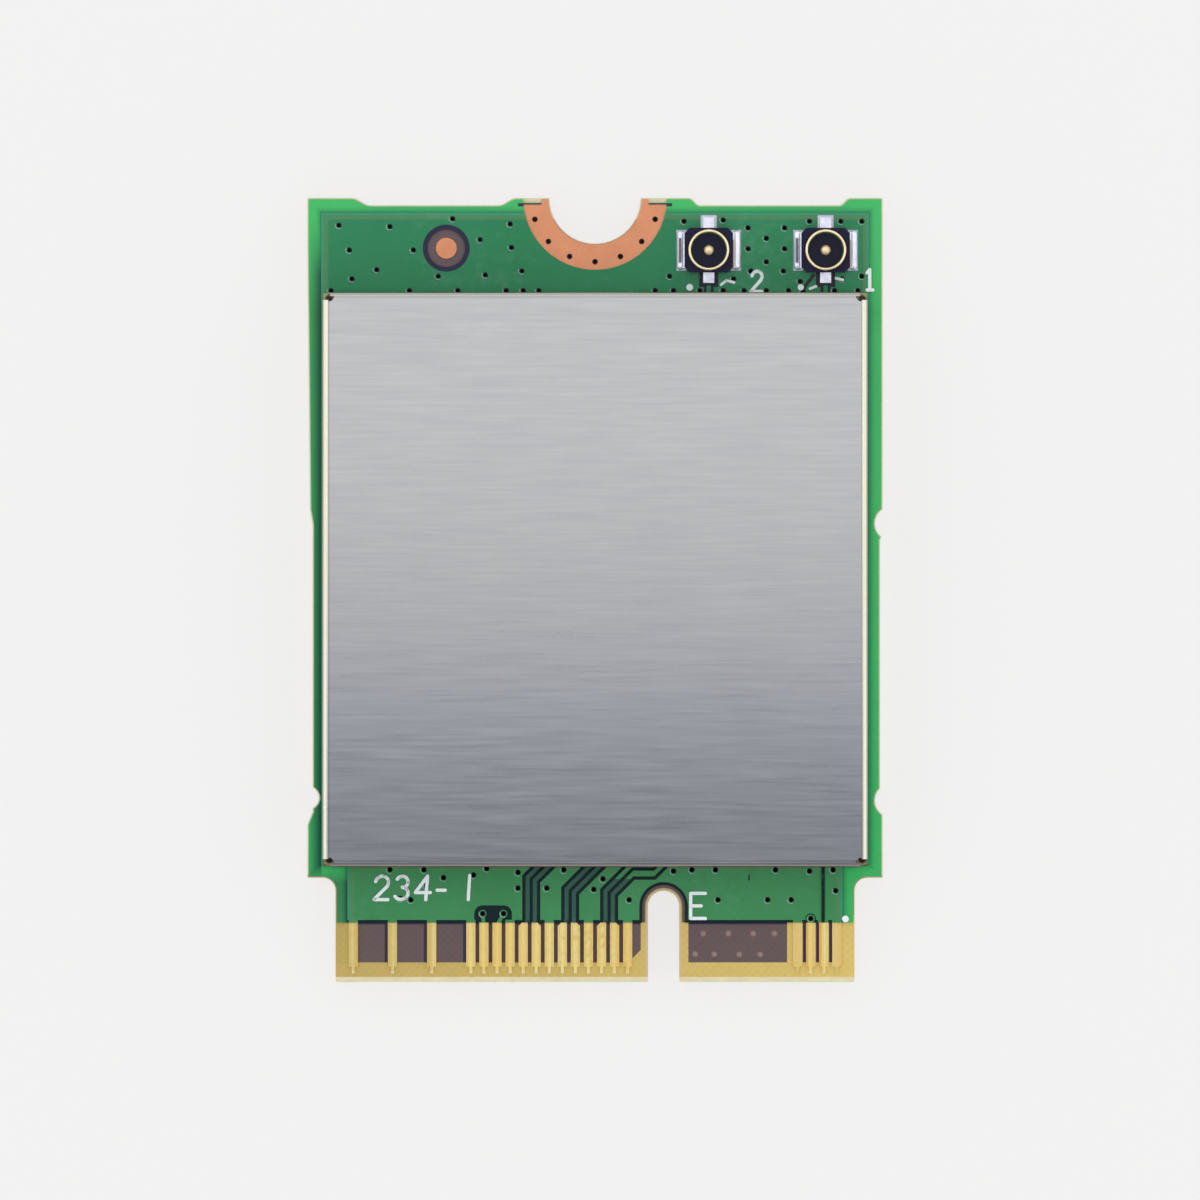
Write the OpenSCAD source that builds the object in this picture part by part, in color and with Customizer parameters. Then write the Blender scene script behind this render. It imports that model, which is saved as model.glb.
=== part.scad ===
// Plug-in wireless network card: a printed board with an edge-connector tongue,
// a folded metal shield over its circuits and two coaxial antenna jacks.
// It lies with its components up, and the tongue points to -Y.

/* [Card] */
// Width of the card
card_w = 22; // [21.9:0.1:22.4]
// Length of the card with its tongue
card_l = 30; // [29.5:0.5:36]
// Height of the card from its underside to the shield's top
card_h = 2.3; // [2.2:0.05:2.6]
// Thickness of the laminate core
core_t = 0.72; // [0.6:0.02:0.8]
// Thickness of the copper foil and of the plated contacts
foil_t = 0.04; // [0.03:0.005:0.05]
// Thickness of the solder mask over copper
mask_t = 0.04; // [0.03:0.005:0.05]
// Depth of the relief that the router left along the top edge
top_relief = 0.28; // [0.1:0.02:0.3]
// Depth of the relief along the left edge
left_relief = 0.2; // [0.1:0.02:0.24]
// Depth of the relief along the right edge
right_relief = 0.1; // [0.06:0.02:0.2]

/* [Edge connector] */
// Width of the tongue
tongue_w = 19.85; // [19.75:0.05:19.95]
// Length of the tongue from its shoulders
tongue_l = 4; // [3.9:0.05:4.1]
// Radius in the corners between tongue and shoulders
shoulder_r = 0.5; // [0.3:0.05:0.5]
// Spacing of the contacts on one side
pitch = 0.5; // [0.49:0.005:0.5]
// Width of one contact
contact_w = 0.35; // [0.3:0.01:0.38]
// Length of one contact
contact_l = 1.69; // [1.5:0.01:1.75]
// Width of the keying slot
slot_w = 1.2; // [1.1:0.05:1.25]
// Depth of the keying slot
slot_l = 3.5; // [3.4:0.05:3.6]
// Depth of the bevel along the tongue's end
bevel = 0.2; // [0.1:0.05:0.25]

/* [Mounting notch] */
// Radius of the half-round screw notch
notch_r = 1.75; // [1.7:0.05:1.8]
// Outer radius of the bare copper pad round the notch
pad_r = 2.75; // [2.6:0.05:2.8]
// Number of plated holes in that pad
pad_vias = 7; // [5:2:7]

/* [Shield] */
// Width of the shield
shield_w = 20.8; // [20.6:0.1:20.9]
// Distance from the card's top edge to the shield
shield_top_gap = 3.64; // [3.6:0.02:3.7]
// Distance from the tongue's end to the shield
shield_end_gap = 4.44; // [4.4:0.02:4.6]
// Thickness of the lid's sheet
lid_t = 0.12; // [0.1:0.01:0.15]
// Thickness of the frame's sheet
frame_t = 0.15; // [0.12:0.01:0.18]
// Outer radius of the bends along the shield's sides
bend_r = 0.24; // [0.2:0.01:0.26]
// Outer radius of the lid's bends along its ends
end_bend_r = 0.15; // [0.15:0.01:0.2]
// Length left open at each corner between two folded walls
corner_gap = 0.3; // [0.26:0.02:0.4]
// Number of snap dimples along each wall
dimples = 4; // [2:1:6]

/* [Antenna jacks] */
// Outer diameter of the jack's ring
jack_d = 1.56; // [1.5:0.02:1.6]
// Height of the jack above its lands
jack_h = 0.6; // [0.55:0.01:0.65]
// Distance of the jacks' centres from the card's top edge
jack_drop = 2; // [1.95:0.05:2.05]
// Distance of jack 1 to the right of the centre line
jack_1_x = 8.82; // [8.7:0.02:8.9]
// Distance of jack 2 to the right of the centre line
jack_2_x = 4.35; // [4.25:0.05:4.45]

/* [Hidden] */
$fn = 48;
eps = 0.01;

// Heights of the layers, from the underside up
core_z = mask_t + foil_t;
core_top = core_z + core_t;
land_z = core_top + foil_t;
mask_top = land_z + mask_t;
mask_dip = 0.02;

// Edges of the card
top_y = card_l / 2;
end_y = -card_l / 2;
shoulder_y = end_y + tongue_l;
slot_x = 5.25 * pitch;
fringe = 0.05;
ramp_steps = 6;
// Reliefs along the top edge: start, end and length of their ramps
top_reliefs = [[-9.3, -3, 0.7], [3.6, 9.75, 0.4]];
// Reliefs along the sides: share of the full depth, height above the shoulders
left_profile = [[0, 25], [0.5, 14.1], [1, 13.5], [1, 2.5], [0, 2]];
right_profile = [[0, 13.2], [1, 12.9], [1, 3.4], [0, 3.1]];
// Bites of the break-off tabs: place outside the edge, height above the shoulders
left_bites = [[0, 3.05]];
left_bite_r = 0.44;
right_bites = [[0.36, 2.95], [0.36, 13.55]];
right_bite_r = 0.65;

// Contacts, counted as the socket counts them: odd pins above, even pins below
pin_mid = 38;
pins_top = [1, 3, 5, 7, for (n = [33:2:57]) n, 63, 69, 75];
pins_bottom = [for (n = [2:2:22]) n, for (n = [32:2:74]) n];
contact_y = end_y + 0.59;
contact_top = contact_y + contact_l;
tail_w = 0.12;
tail_l = 0.26;
neck_cut = 0.13;

// Copper pour and what is etched out of it
pour_side = 0.52;
pour_top = 0.56;
pour_tongue = 0.45;
pour_under = 1;
pour_slot = 0.33;
mask_slot = 0.22;
pour_end = contact_top + 0.1;
gap_w = 0.13;
trace_w = 0.14;
stub_zone = 0.9;
stub_rows = [0.3, 0.62];
stub_land_r = 0.15;
neck_shift = 0.07;
pair_step = 0.28;
pair_bend = tan(22.5) * pair_step;

// Trace pairs: centre, height of the middle line's bend above the tongue's end
pairs = [[-2.44, 3.95], [-0.95, 3.5], [0.54, 3.43]];
// The last pair's level stretch: rise before it of its inner and outer lines,
// its length, and the rise after it
level_rise = [0.9, 0.67];
level_run = 0.8;
level_end = 0.9;
jack_cut_from = [8.39, 12.09];
jack_cut_to = [7.89, 11.42];
single_x = 8.71;
single_gap = 0.08;
single_step = 0.075;

// Plated vias: place across, distance from the top edge
vias_top = [
    [-9.8, 1.05], [-7.85, 1.1], [-5.45, 0.8], [-3.25, 1], [-9.4, 2], [-6.95, 2],
    [-4.4, 1.6], [-3.2, 1.9], [-8.35, 2.75], [-4.2, 2.95], [-2.8, 2.8],
    [-9.3, 3.1], [-6, 3], [2.85, 3], [3.4, 0.9], [4.9, 0.85], [5.85, 1.15],
    [6.55, 1.55], [5.85, 1.95], [6.55, 2.45], [7.25, 1.15], [7.25, 1.95],
    [7.2, 2.8], [5.95, 2.8], [8.2, 0.9], [9.4, 0.9], [10.2, 0.9],
    [5.3, 3.1], [7.85, 3.2], [9.45, 3.1], [10.2, 3]
];
// Vias in a row beside the shield's upper edge
vias_row = [
    -10.1, -7.1, -5.25, -3.4, -2.75, -2.15, 2.3, 3, 4.01, 4.9, 5.7, 6.55, 7.4,
    7.95, 9.16, 10.05
];
vias_row_drop = 3.55;
// Vias near the tongue: place across, height above the tongue's end
vias_tongue = [
    [-7.85, 4.3], [-6.55, 4.3], [-5.8, 4], [-6.45, 3.7], [-4.65, 4.1],
    [-4.15, 4.35], [-2.95, 4.2], [-2.95, 3.6], [-1.85, 3.6], [-1.2, 4.3],
    [-0.05, 3.55], [-7.45, 3.2], [-7.05, 3.15], [0.3, 3.95], [1.3, 3.15],
    [3, 4.25], [3.7, 4.3], [4.6, 4.3], [6.9, 4.3], [8.2, 4.25], [9.1, 4.3],
    [4.7, 3.15], [6.6, 3.15], [7.5, 3.15], [9.2, 3.5]
];
via_d = 0.22;
via_bore = 0.13;
via_mask_d = 0.17;
notch_steps = 36;
pad_via_r = 2.44;
pad_via_step = 23.5;
pad_end_cut = [1.6, 0.5];
pad_end_x = 2.85;
mask_bar = [1.3, 0.06];
mask_bar_out = 0.95;
mask_bar_drop = 0.22;

// Fiducial target
fiducial = [-5.69, top_y - 1.92];
fiducial_r = 0.4;
fiducial_mask_r = 0.72;
fiducial_pour_r = 0.9;

// Two escape vias above contacts 53 and 55, and one above contact 5
escape_y = end_y + 2.62;
escapes = [[-4.3, 55], [-3.5, 53]];
escape_r = 0.15;
escape_gap = 0.17;
small_land_r = 0.16;
small_gap_r = 0.2;
small_rise = 0.15;

// Shield
shield_l = card_l - shield_top_gap - shield_end_gap;
shield_y = (shield_end_gap - shield_top_gap) / 2;
lid_foot = mask_top + 0.1;
frame_w = shield_w - 2 * lid_t;
frame_l = shield_l - 2 * lid_t;
frame_top = card_h - lid_t;
flange = 0.75;
corner_over = 0.06;
dimple_z = (lid_foot + frame_top) / 2;
dimple_out = 0.15;
dimple_r = 0.25;
window_r = 0.32;
frame_land = 0.12;
foot_gap_h = 0.12;
foot_reach = 0.5;
under_frame = 0.5;

// Gaps between the frame's solder feet: place along the wall and width. Those of
// the end wall and the top wall let the traces pass below the frame.
gaps_end = [[-6.4, 1.2], [-1.95, 1.1], [0, 1.1], [1.95, 1.8], [5.4, 1.2], [8.71, 0.7]];
gaps_top = [[-6.4, 1.2], [-1.6, 1.2], [4.35, 1.2], [8.82, 1.2]];
gaps_side = [[-7.6, 1.2], [-2.5, 1.2], [2.5, 1.2], [7.6, 1.2]];

// Antenna jacks
jack_x = [jack_1_x, jack_2_x];
jack_y = top_y - jack_drop;
jack_wall = 0.09;
jack_base = [1.85, 1.7];
jack_cut = 0.2;
jack_sheet = 0.08;
jack_root = 0.05;
plate_z = mask_top + jack_sheet;
base_top = mask_top + 0.2;
well_floor = plate_z - 0.02;
well_sides = 12;
well_gap = 0.03;
tab = [0.2, 1.36];
tab_reach = 1.14;
end_tab = [0.42, 0.4];
groove_r = 0.06;
groove_out = 0.03;
groove_drop = 0.2;
pin_r = 0.19;
pin_drop = 0.08;
pin_arm = 0.24;
arm_t = 0.04;
foot_land = 0.1;
signal_land = 0.05;
signal_w = 0.16;
signal_gap = 0.11;
solder_r = 0.15;
solder_l = 1.52;

// Parts under the shield, in places from the shield's centre
chip_size = [8.8, 8.8, 0.85];
chip_at = [-0.6, -1.8];
chip_leads = 15;
small_leads = 3;
module_size = [2.5, 2.5, 0.8];
module_drop = 5.2;
filter_size = [1.6, 0.8, 0.6];
filter_drop = 2.2;
crystal_size = [2, 1.6, 0.5];
crystal_at = [-7.6, 3.4];
regulator_size = [2.4, 2.4, 0.75];
regulator_at = [-7.8, -0.6];
inductor_size = [2.5, 2, 1];
inductors_at = [[-7.8, -3.9], [-7.8, -6.9]];
capacitor_size = [1, 0.5, 0.5];
small_size = [0.6, 0.3, 0.28];
lead_pitch = 0.5;
lead = [0.24, 0.4];
lead_edge = 0.02;
lead_clear = 0.14;
stand = 0.03;
dot_r = 0.22;
dot_in = 0.5;
dot_depth = 0.05;
cap_share = 0.25;
cap_step = 0.02;
end_land = [0.42, 0.3];
crystal_can = 0.3;
crystal_rim = 0.6;
corner_land = [0.6, 0.5];
window_margin = [0.24, 0.16];
capacitors_at = [
    for (i = [0:5]) [5.2, -5.3 + 1.4 * i, 90],
    for (i = [0:5]) [-4.6 + 1.6 * i, -7.6, 0],
    for (i = [0:4]) [-3.8 + 1.6 * i, 4.2, 0]
];
resistors_at = [
    for (i = [0:5]) [6.6, -5.3 + 1.4 * i, 90],
    for (i = [0:5]) [-4.6 + 1.6 * i, -8.9, 0],
    for (i = [0:3]) [-8.8 + i, 5.6, 90]
];
chain_x = [for (x = jack_x) x - 1.3];
matching_at = [
    for (x = chain_x, s = [-1, 1]) [x + 1.25 * s, -filter_drop, 90],
    for (x = chain_x, s = [-1, 1]) [x + 0.6 * s, -filter_drop - 1.2, 0]
];

function pin_x(n) = (pin_mid - n) * pitch / 2;
// 1 or -1 on the contacts of a trace pair, for the side of their sloping corner
function slope_of(n) =
    n < 34 || n > 50 || is_ground(n) ? 0 : ((n - 33) % 6 == 2 ? 1 : -1);
function is_ground(n) = n == 1 || n == 7 || (n > 30 && (n - 33) % 6 == 0);
// Centres of every via
function all_vias() = [
    for (v = vias_top) [v[0], top_y - v[1]],
    for (x = vias_row) [x, top_y - vias_row_drop],
    for (v = vias_tongue) [v[0], end_y + v[1]],
    for (i = [0:pad_vias - 1]) pad_via(i),
    for (e = escapes) [e[0], escape_y],
    [pin_x(5), contact_top + small_rise]
];
function pad_via(i) =
    let(a = -90 + (i - (pad_vias - 1) / 2) * pad_via_step)
    [pad_via_r * cos(a), top_y + pad_via_r * sin(a)];

// Line of even width through points, with mitred bends
module track(points, w) {
    last = len(points) - 1;
    side = [for (i = [0:last - 1]) left_of(points[i + 1] - points[i])];
    mitres = [
        for (i = [0:last])
            let(a = side[max(i - 1, 0)], b = side[min(i, last - 1)])
            (a + b) / (1 + a * b) * w / 2
    ];
    polygon(concat(
        [for (i = [0:last]) points[i] + mitres[i]],
        [for (i = [last:-1:0]) points[i] - mitres[i]]
    ));
}

function left_of(d) = [-d[1], d[0]] / norm(d);

// Square centred on a place, turned about it
module pad(size, at, turn = 0) {
    translate(at)
        rotate(turn)
            square(size, center = true);
}

// Board outline and its openings, all in plan; inset moves every edge inwards
module key_slot(inset = 0) {
    r = slot_w / 2 + inset;
    translate([slot_x, end_y + slot_l - slot_w / 2])
        circle(r);
    translate([slot_x - r, end_y - 1])
        square([2 * r, slot_l - slot_w / 2 + 1]);
}

module screw_notch(r) {
    translate([0, top_y])
        circle(r, $fn = 96);
}

module shoulder_fillet(inset) {
    x = tongue_w / 2;
    r = shoulder_r;
    difference() {
        translate([x - inset - eps, shoulder_y - r])
            square([r + inset + eps, r + inset + eps]);
        translate([x + r, shoulder_y - r])
            circle(r + inset);
    }
}

// Shallow relief cut into the top edge between two places
module top_edge_relief(x0, x1, ramp, inset) {
    y = top_y - inset;
    polygon(concat(
        eased([x0 - inset, y + eps], [x0 + ramp, y - top_relief]),
        eased([x1 - ramp, y - top_relief], [x1 + inset, y + eps]),
        [[x1 + inset, y + 1], [x0 - inset, y + 1]]
    ));
}

// Points of an S-shaped ramp from a to b
function eased(a, b) = [
    for (i = [0:ramp_steps])
        let(u = i / ramp_steps)
        [a[0] + (b[0] - a[0]) * u, a[1] + (b[1] - a[1]) * (1 - cos(180 * u)) / 2]
];

// Left edge, where the card was routed and broken from its panel; the right edge
// is the same, mirrored
module side_relief(profile, depth, bites, bite_r, inset) {
    x = -card_w / 2 + inset;
    polygon(concat(
        [for (p = profile) [p[0] > 0 ? x + p[0] * depth : x - eps, shoulder_y + p[1]]],
        [[x - 1, shoulder_y + profile[len(profile) - 1][1]],
         [x - 1, shoulder_y + profile[0][1]]]
    ));
    for (b = bites)
        translate([-card_w / 2 - b[0], shoulder_y + b[1]])
            circle(bite_r + inset);
}

module outline(inset = 0) {
    difference() {
        union() {
            translate([-card_w / 2 + inset, shoulder_y + inset])
                square([card_w - 2 * inset, card_l - tongue_l - 2 * inset]);
            translate([-tongue_w / 2 + inset, end_y + inset])
                square([tongue_w - 2 * inset, tongue_l + shoulder_r]);
            shoulder_fillet(inset);
            mirror([1, 0])
                shoulder_fillet(inset);
        }
        key_slot(inset);
        screw_notch(notch_r + inset);
        for (t = top_reliefs)
            top_edge_relief(t[0], t[1], t[2], inset);
        side_relief(left_profile, left_relief, left_bites, left_bite_r, inset);
        mirror([1, 0])
            side_relief(right_profile, right_relief, right_bites, right_bite_r, inset);
    }
}

module via_holes(d) {
    for (p = all_vias())
        translate(p)
            circle(d = d, $fn = 16);
}

// Contacts in plan: a finger with a thin tail; a signal finger's outer corner
// slopes where it narrows to its trace
module contact(n) {
    x = pin_x(n);
    slope = n % 2 == 0 ? 0 : slope_of(n);
    w = contact_w / 2;
    polygon([
        [x - w, contact_y], [x + w, contact_y],
        [x + w, contact_top - max(slope, 0) * neck_cut],
        [x + w - max(slope, 0) * neck_cut, contact_top],
        [x - w + max(-slope, 0) * neck_cut, contact_top],
        [x - w, contact_top - max(-slope, 0) * neck_cut]
    ]);
    translate([x - tail_w / 2, contact_y - tail_l])
        square([tail_w, tail_l + eps]);
}

// Lines etched out of the upper pour beside the trace pairs. The last pair
// runs level for a stretch to pass above the keying slot.
module pair_gaps() {
    for (p = pairs, side = [-1:1]) {
        x = p[0] + side * pair_step;
        y = end_y + p[1] - side * pair_bend;
        rise = shield_y - shield_l / 2 - y;
        last = p == pairs[len(pairs) - 1];
        run = level_rise[max(side, 0)];
        to = run + level_run + level_end;
        track(
            concat(
                [[x, contact_top - eps], [x, y]],
                last && side > -1
                    ? [[x + run, y + run], [x + run + level_run, y + run],
                       [x + to, y + run + level_end]]
                    : [[x + rise + under_frame, y + rise + under_frame]]
            ),
            gap_w
        );
    }
}

module single_gaps() {
    for (side = [-1, 1])
        translate([single_x + side * single_step - single_gap / 2, contact_top - eps])
            square([single_gap, shield_y - shield_l / 2 + under_frame - contact_top]);
}

// Clearance round the escape vias
module escape_clearance() {
    r = escape_r + escape_gap;
    for (e = escapes)
        translate([e[0], escape_y])
            circle(r);
    translate([escapes[0][0] - r, contact_top - eps])
        square([escapes[1][0] - escapes[0][0] + 2 * r, escape_y - contact_top + eps]);
    translate([escapes[0][0], escape_y])
        square([escapes[1][0] - escapes[0][0], r]);
    translate([pin_x(5), contact_top + small_rise])
        circle(small_gap_r);
}

module escape_lands() {
    for (e = escapes)
        track([[e[0], escape_y], [pin_x(e[1]), contact_top - 0.1]], trace_w);
    for (e = escapes)
        translate([e[0], escape_y])
            circle(escape_r);
    translate([pin_x(5), contact_top + small_rise])
        circle(small_land_r);
}

// Plan of a jack's four feet, grown by a margin
module jack_feet(margin, sides = true, signal = true) {
    if (sides)
        for (s = [-1, 1])
            pad([tab[0] + 2 * margin, tab[1] + 2 * margin], [s * (tab_reach - tab[0] / 2), 0]);
    if (sides)
        pad([end_tab[0] + 2 * margin, end_tab[1] + 2 * margin], [0, jack_end_y()]);
    if (signal)
        pad([end_tab[0] + 2 * margin, end_tab[1] + 2 * margin], [0, -jack_end_y()]);
}

function jack_end_y() = jack_base[1] / 2 + end_tab[1] / 2;

module at_jacks() {
    for (x = jack_x)
        translate([x, jack_y])
            children();
}

// Signal land of a jack, its trace into the shield and the gap round both
module signal_escape(margin) {
    at_jacks() {
        jack_feet(signal_land + margin, false, true);
        track(
            [[0, -jack_end_y()], [0, jack_drop - shield_top_gap - under_frame]],
            signal_w + 2 * margin
        );
    }
}

// Land round the frame's feet, a margin wider than its sheet on both sides
module frame_ring(margin) {
    inner = [frame_w - 2 * (frame_t + margin), frame_l - 2 * (frame_t + margin)];
    difference() {
        pad([frame_w + 2 * margin, frame_l + 2 * margin], [0, shield_y]);
        pad(inner, [0, shield_y]);
        foot_gaps();
    }
}

// Plan of the gaps between the frame's feet
module foot_gaps() {
    for (g = gaps_end)
        pad([g[1], 2 * foot_reach], [g[0], shield_y - frame_l / 2]);
    for (g = gaps_top)
        pad([g[1], 2 * foot_reach], [g[0], shield_y + frame_l / 2]);
    for (g = gaps_side, s = [-1, 1])
        pad([2 * foot_reach, g[1]], [s * frame_w / 2, shield_y + g[0]]);
}

// Upper copper that lies under the mask
module copper_top_plan() {
    difference() {
        union() {
            difference() {
                pour_plan(pour_end);
                pair_gaps();
                single_gaps();
                escape_clearance();
                signal_escape(signal_gap);
                track([jack_cut_from, jack_cut_to], gap_w);
                translate(fiducial)
                    circle(fiducial_pour_r);
                pad([frame_w - 2 * pour_under, frame_l - 2 * pour_under], [0, shield_y]);
            }
            escape_lands();
            signal_escape(0);
            contact_necks();
            part_lands();
        }
        via_holes(via_d);
        contact_field();
    }
}

// Everything below the mask's edge, where the contacts are
module contact_field() {
    translate([-card_w, end_y - 1])
        square([2 * card_w, contact_top - end_y + 1]);
}

// Outline of a pour, which stops at a given height above the contacts
module pour_plan(stop_y) {
    difference() {
        union() {
            translate([-card_w / 2 + pour_side, shoulder_y + pour_side])
                square([card_w - 2 * pour_side, card_l - tongue_l - pour_side - pour_top]);
            translate([-tongue_w / 2 + pour_tongue, stop_y])
                square([tongue_w - 2 * pour_tongue, tongue_l]);
        }
        key_slot(pour_slot);
        screw_notch(pad_r);
    }
}

// Short necks that join the contacts to the pour or to their traces
module contact_necks() {
    for (n = pins_top) {
        if (is_ground(n))
            neck(pin_x(n), contact_w);
        if (slope_of(n) != 0)
            neck(pin_x(n) - slope_of(n) * neck_shift, trace_w);
    }
    neck(single_x, 2 * single_step - single_gap);
}

module neck(x, w) {
    translate([x - w / 2, contact_top])
        square([w, pour_end - contact_top + eps]);
}

// Lower copper: a pour, and a stub from each contact to its own via land
module copper_bottom_plan() {
    difference() {
        union() {
            pour_plan(contact_top + stub_zone);
            for (i = [0:len(pins_bottom) - 1]) {
                x = pin_x(pins_bottom[i]);
                y = contact_top + stub_rows[i % 2];
                track([[x, contact_top], [x, y]], trace_w);
                translate([x, y])
                    circle(stub_land_r, $fn = 24);
            }
        }
        via_holes(via_d);
    }
}

// The pad's inner edge, drawn in short straight steps as the foil's artwork is
module stepped_notch(r) {
    translate([0, top_y])
        polygon(concat(
            [for (i = [0:notch_steps]) let(a = -180 * i / notch_steps) [r * cos(a), r * sin(a)]],
            [[-r, 1], [r, 1]]
        ));
}

module pad_plan() {
    difference() {
        screw_notch(pad_r);
        stepped_notch(notch_r + fringe);
        translate([-2 * pad_r, top_y - fringe])
            square([4 * pad_r, 2 * pad_r]);
        for (s = [-1, 1])
            pad(pad_end_cut, [s * pad_end_x, top_y]);
        for (i = [0:pad_vias - 1])
            translate(pad_via(i))
                circle(d = via_d, $fn = 16);
    }
}

// Openings in the upper mask: contacts, notch pad, target, jack feet, frame
module mask_top_plan() {
    difference() {
        outline(fringe);
        contact_field();
        key_slot(mask_slot);
        pad_opening();
        translate(fiducial)
            circle(fiducial_mask_r);
        at_jacks()
            jack_feet(foot_land);
        frame_ring(frame_land);
        part_openings();
        via_holes(via_mask_d);
    }
}

// The mask leaves the notch pad bare, with a thin bar across each of its ends
module pad_opening() {
    difference() {
        screw_notch(pad_r);
        for (s = [-1, 1])
            pad(mask_bar, [s * (notch_r + mask_bar_out), top_y - mask_bar_drop]);
    }
}

module mask_bottom_plan() {
    difference() {
        outline(fringe);
        contact_field();
        key_slot(mask_slot);
        screw_notch(pad_r);
    }
}

// Chip package: moulded body on a row of leads along each side
module package(size, leads_per_side) {
    translate([0, 0, land_z + stand])
        difference() {
            linear_extrude(size[2] - stand)
                square([size[0], size[1]], center = true);
            translate([-size[0] / 2 + dot_in, size[1] / 2 - dot_in, size[2] - stand - dot_depth])
                cylinder(r = dot_r, h = 1);
        }
    translate([0, 0, land_z])
        linear_extrude(stand + eps)
            package_leads(size, leads_per_side, 0);
}

module package_leads(size, count, margin) {
    for (turn = [0, 180])
        rotate(turn)
            lead_row(count, size[1] / 2, margin);
    for (turn = [90, 270])
        rotate(turn)
            lead_row(count, size[0] / 2, margin);
    clear = 2 * (lead[1] + lead_clear);
    square([size[0] - clear, size[1] - clear], center = true);
}

module lead_row(count, edge, margin) {
    for (i = [0:count - 1])
        translate([(i - (count - 1) / 2) * lead_pitch, -edge + lead[1] / 2])
            square([lead[0] + 2 * margin, lead[1] - lead_edge + 2 * margin], center = true);
}

// Small two-ended part: a body between two slightly thicker metal caps
module two_ended(size) {
    cap = size[0] * cap_share;
    translate([0, 0, land_z])
        linear_extrude(size[2])
            for (s = [-1, 1])
                translate([s * (size[0] - cap) / 2, 0])
                    square([cap, size[1]], center = true);
    translate([0, 0, land_z + cap_step])
        linear_extrude(size[2] - 2 * cap_step)
            square([size[0] - cap, size[1] - 2 * cap_step], center = true);
}

module end_lands(size) {
    for (s = [-1, 1])
        translate([s * size[0] * end_land[0], 0])
            square([size[0] * end_land[1], size[1]], center = true);
}

module placed(list) {
    for (p = list)
        translate([p[0], shield_y + p[1]])
            rotate(p[2])
                children();
}

function from_top(x, drop) = [x, shield_l / 2 - drop, 0];
function module_places() = [for (x = chain_x) from_top(x, module_drop)];
function filter_places() = [for (x = chain_x) from_top(x, filter_drop)];
function matching_places() = [
    for (p = matching_at) [p[0], shield_l / 2 + p[1], p[2]]
];
function flat(p) = [[p[0], p[1], 0]];
function inductor_places() = [for (p = inductors_at) [p[0], p[1], 0]];

// Lands under every part in the shield
module part_lands() {
    placed(flat(chip_at))
        package_leads(chip_size, chip_leads, lead_edge);
    placed(flat(regulator_at))
        package_leads(regulator_size, small_leads, lead_edge);
    placed(module_places())
        package_leads(module_size, small_leads, lead_edge);
    placed(filter_places())
        end_lands(filter_size);
    placed(flat(crystal_at))
        corner_lands(crystal_size);
    placed(inductor_places())
        end_lands(inductor_size);
    placed(capacitors_at)
        end_lands(capacitor_size);
    placed(concat(resistors_at, matching_places()))
        end_lands(small_size);
}

module corner_lands(size) {
    for (sx = [-1, 1], sy = [-1, 1])
        translate([sx * (size[0] - corner_land[0]) / 2, sy * (size[1] - corner_land[1]) / 2])
            square(corner_land, center = true);
}

// The mask leaves one window round each part's lands
module part_openings() {
    window_plan(flat(chip_at), chip_size);
    window_plan(flat(regulator_at), regulator_size);
    window_plan(module_places(), module_size);
    window_plan(filter_places(), filter_size);
    window_plan(flat(crystal_at), crystal_size);
    window_plan(inductor_places(), inductor_size);
    window_plan(capacitors_at, capacitor_size);
    window_plan(concat(resistors_at, matching_places()), small_size);
}

module window_plan(places, size) {
    placed(places)
        square([size[0] + window_margin[0], size[1] + window_margin[1]], center = true);
}

// One folded wall along X with its bend: the wall's outer face is at -Y edge
module folded_wall(length, top, foot, t, r) {
    rotate([90, 0, 90])
        translate([0, 0, -length / 2])
            linear_extrude(length) {
                translate([0, foot])
                    square([t, top - r - foot]);
                difference() {
                    intersection() {
                        translate([r, top - r])
                            circle(r);
                        translate([0, top - r])
                            square([r, r]);
                    }
                    translate([r, top - r])
                        circle(r - t);
                }
            }
}

// Sheet-metal box without a floor: a flat top and four folded walls that stop
// short of its corners, with bends of radius r along the sides and e at the ends
module folded_box(w, l, top, foot, t, r, e) {
    difference() {
        translate([-w / 2 + r, -l / 2 + e, top - t])
            cube([w - 2 * r, l - 2 * e, t]);
        for (sx = [-1, 1], sy = [-1, 1])
            translate([sx * (w / 2 - r), sy * (l / 2 - e), top - t - 1])
                cylinder(r = corner_gap - min(r, e) + corner_over, h = 2);
    }
    for (turn = [0, 180]) {
        rotate(turn)
            translate([0, -l / 2, 0])
                folded_wall(w - 2 * corner_gap, top, foot, t, e);
        rotate(turn + 90)
            translate([0, -w / 2, 0])
                folded_wall(l - 2 * corner_gap, top, foot, t, r);
    }
}

// Puts children at every snap point of a box w wide and l long, with -Y pointing
// out of the wall's outer face, which is at the origin
module at_dimples(w, l) {
    for (turn = [0:90:270]) {
        out = turn % 180 == 0 ? l : w;
        step = (turn % 180 == 0 ? shield_w : shield_l) / dimples;
        for (i = [0:dimples - 1])
            rotate(turn)
                translate([(i - (dimples - 1) / 2) * step, -out / 2, dimple_z])
                    children();
    }
}

// Nodes

module circuit_board() {
    color([0.78, 0.7, 0.45])
        difference() {
            intersection() {
                translate([0, 0, core_z])
                    linear_extrude(core_t)
                        outline();
                tongue_bevel();
            }
            translate([0, 0, core_z - 1])
                linear_extrude(core_t + 2)
                    via_holes(via_d);
        }
}

// Side view of the board, with both long edges of the tongue's end cut off
module tongue_bevel() {
    rise = bevel / 2;
    rotate([90, 0, 90])
        translate([0, 0, -card_w])
            linear_extrude(2 * card_w)
                polygon([
                    [end_y, core_z + rise], [end_y + bevel, core_z],
                    [top_y + 1, core_z], [top_y + 1, core_top],
                    [end_y + bevel, core_top], [end_y, core_top - rise]
                ]);
}

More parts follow.
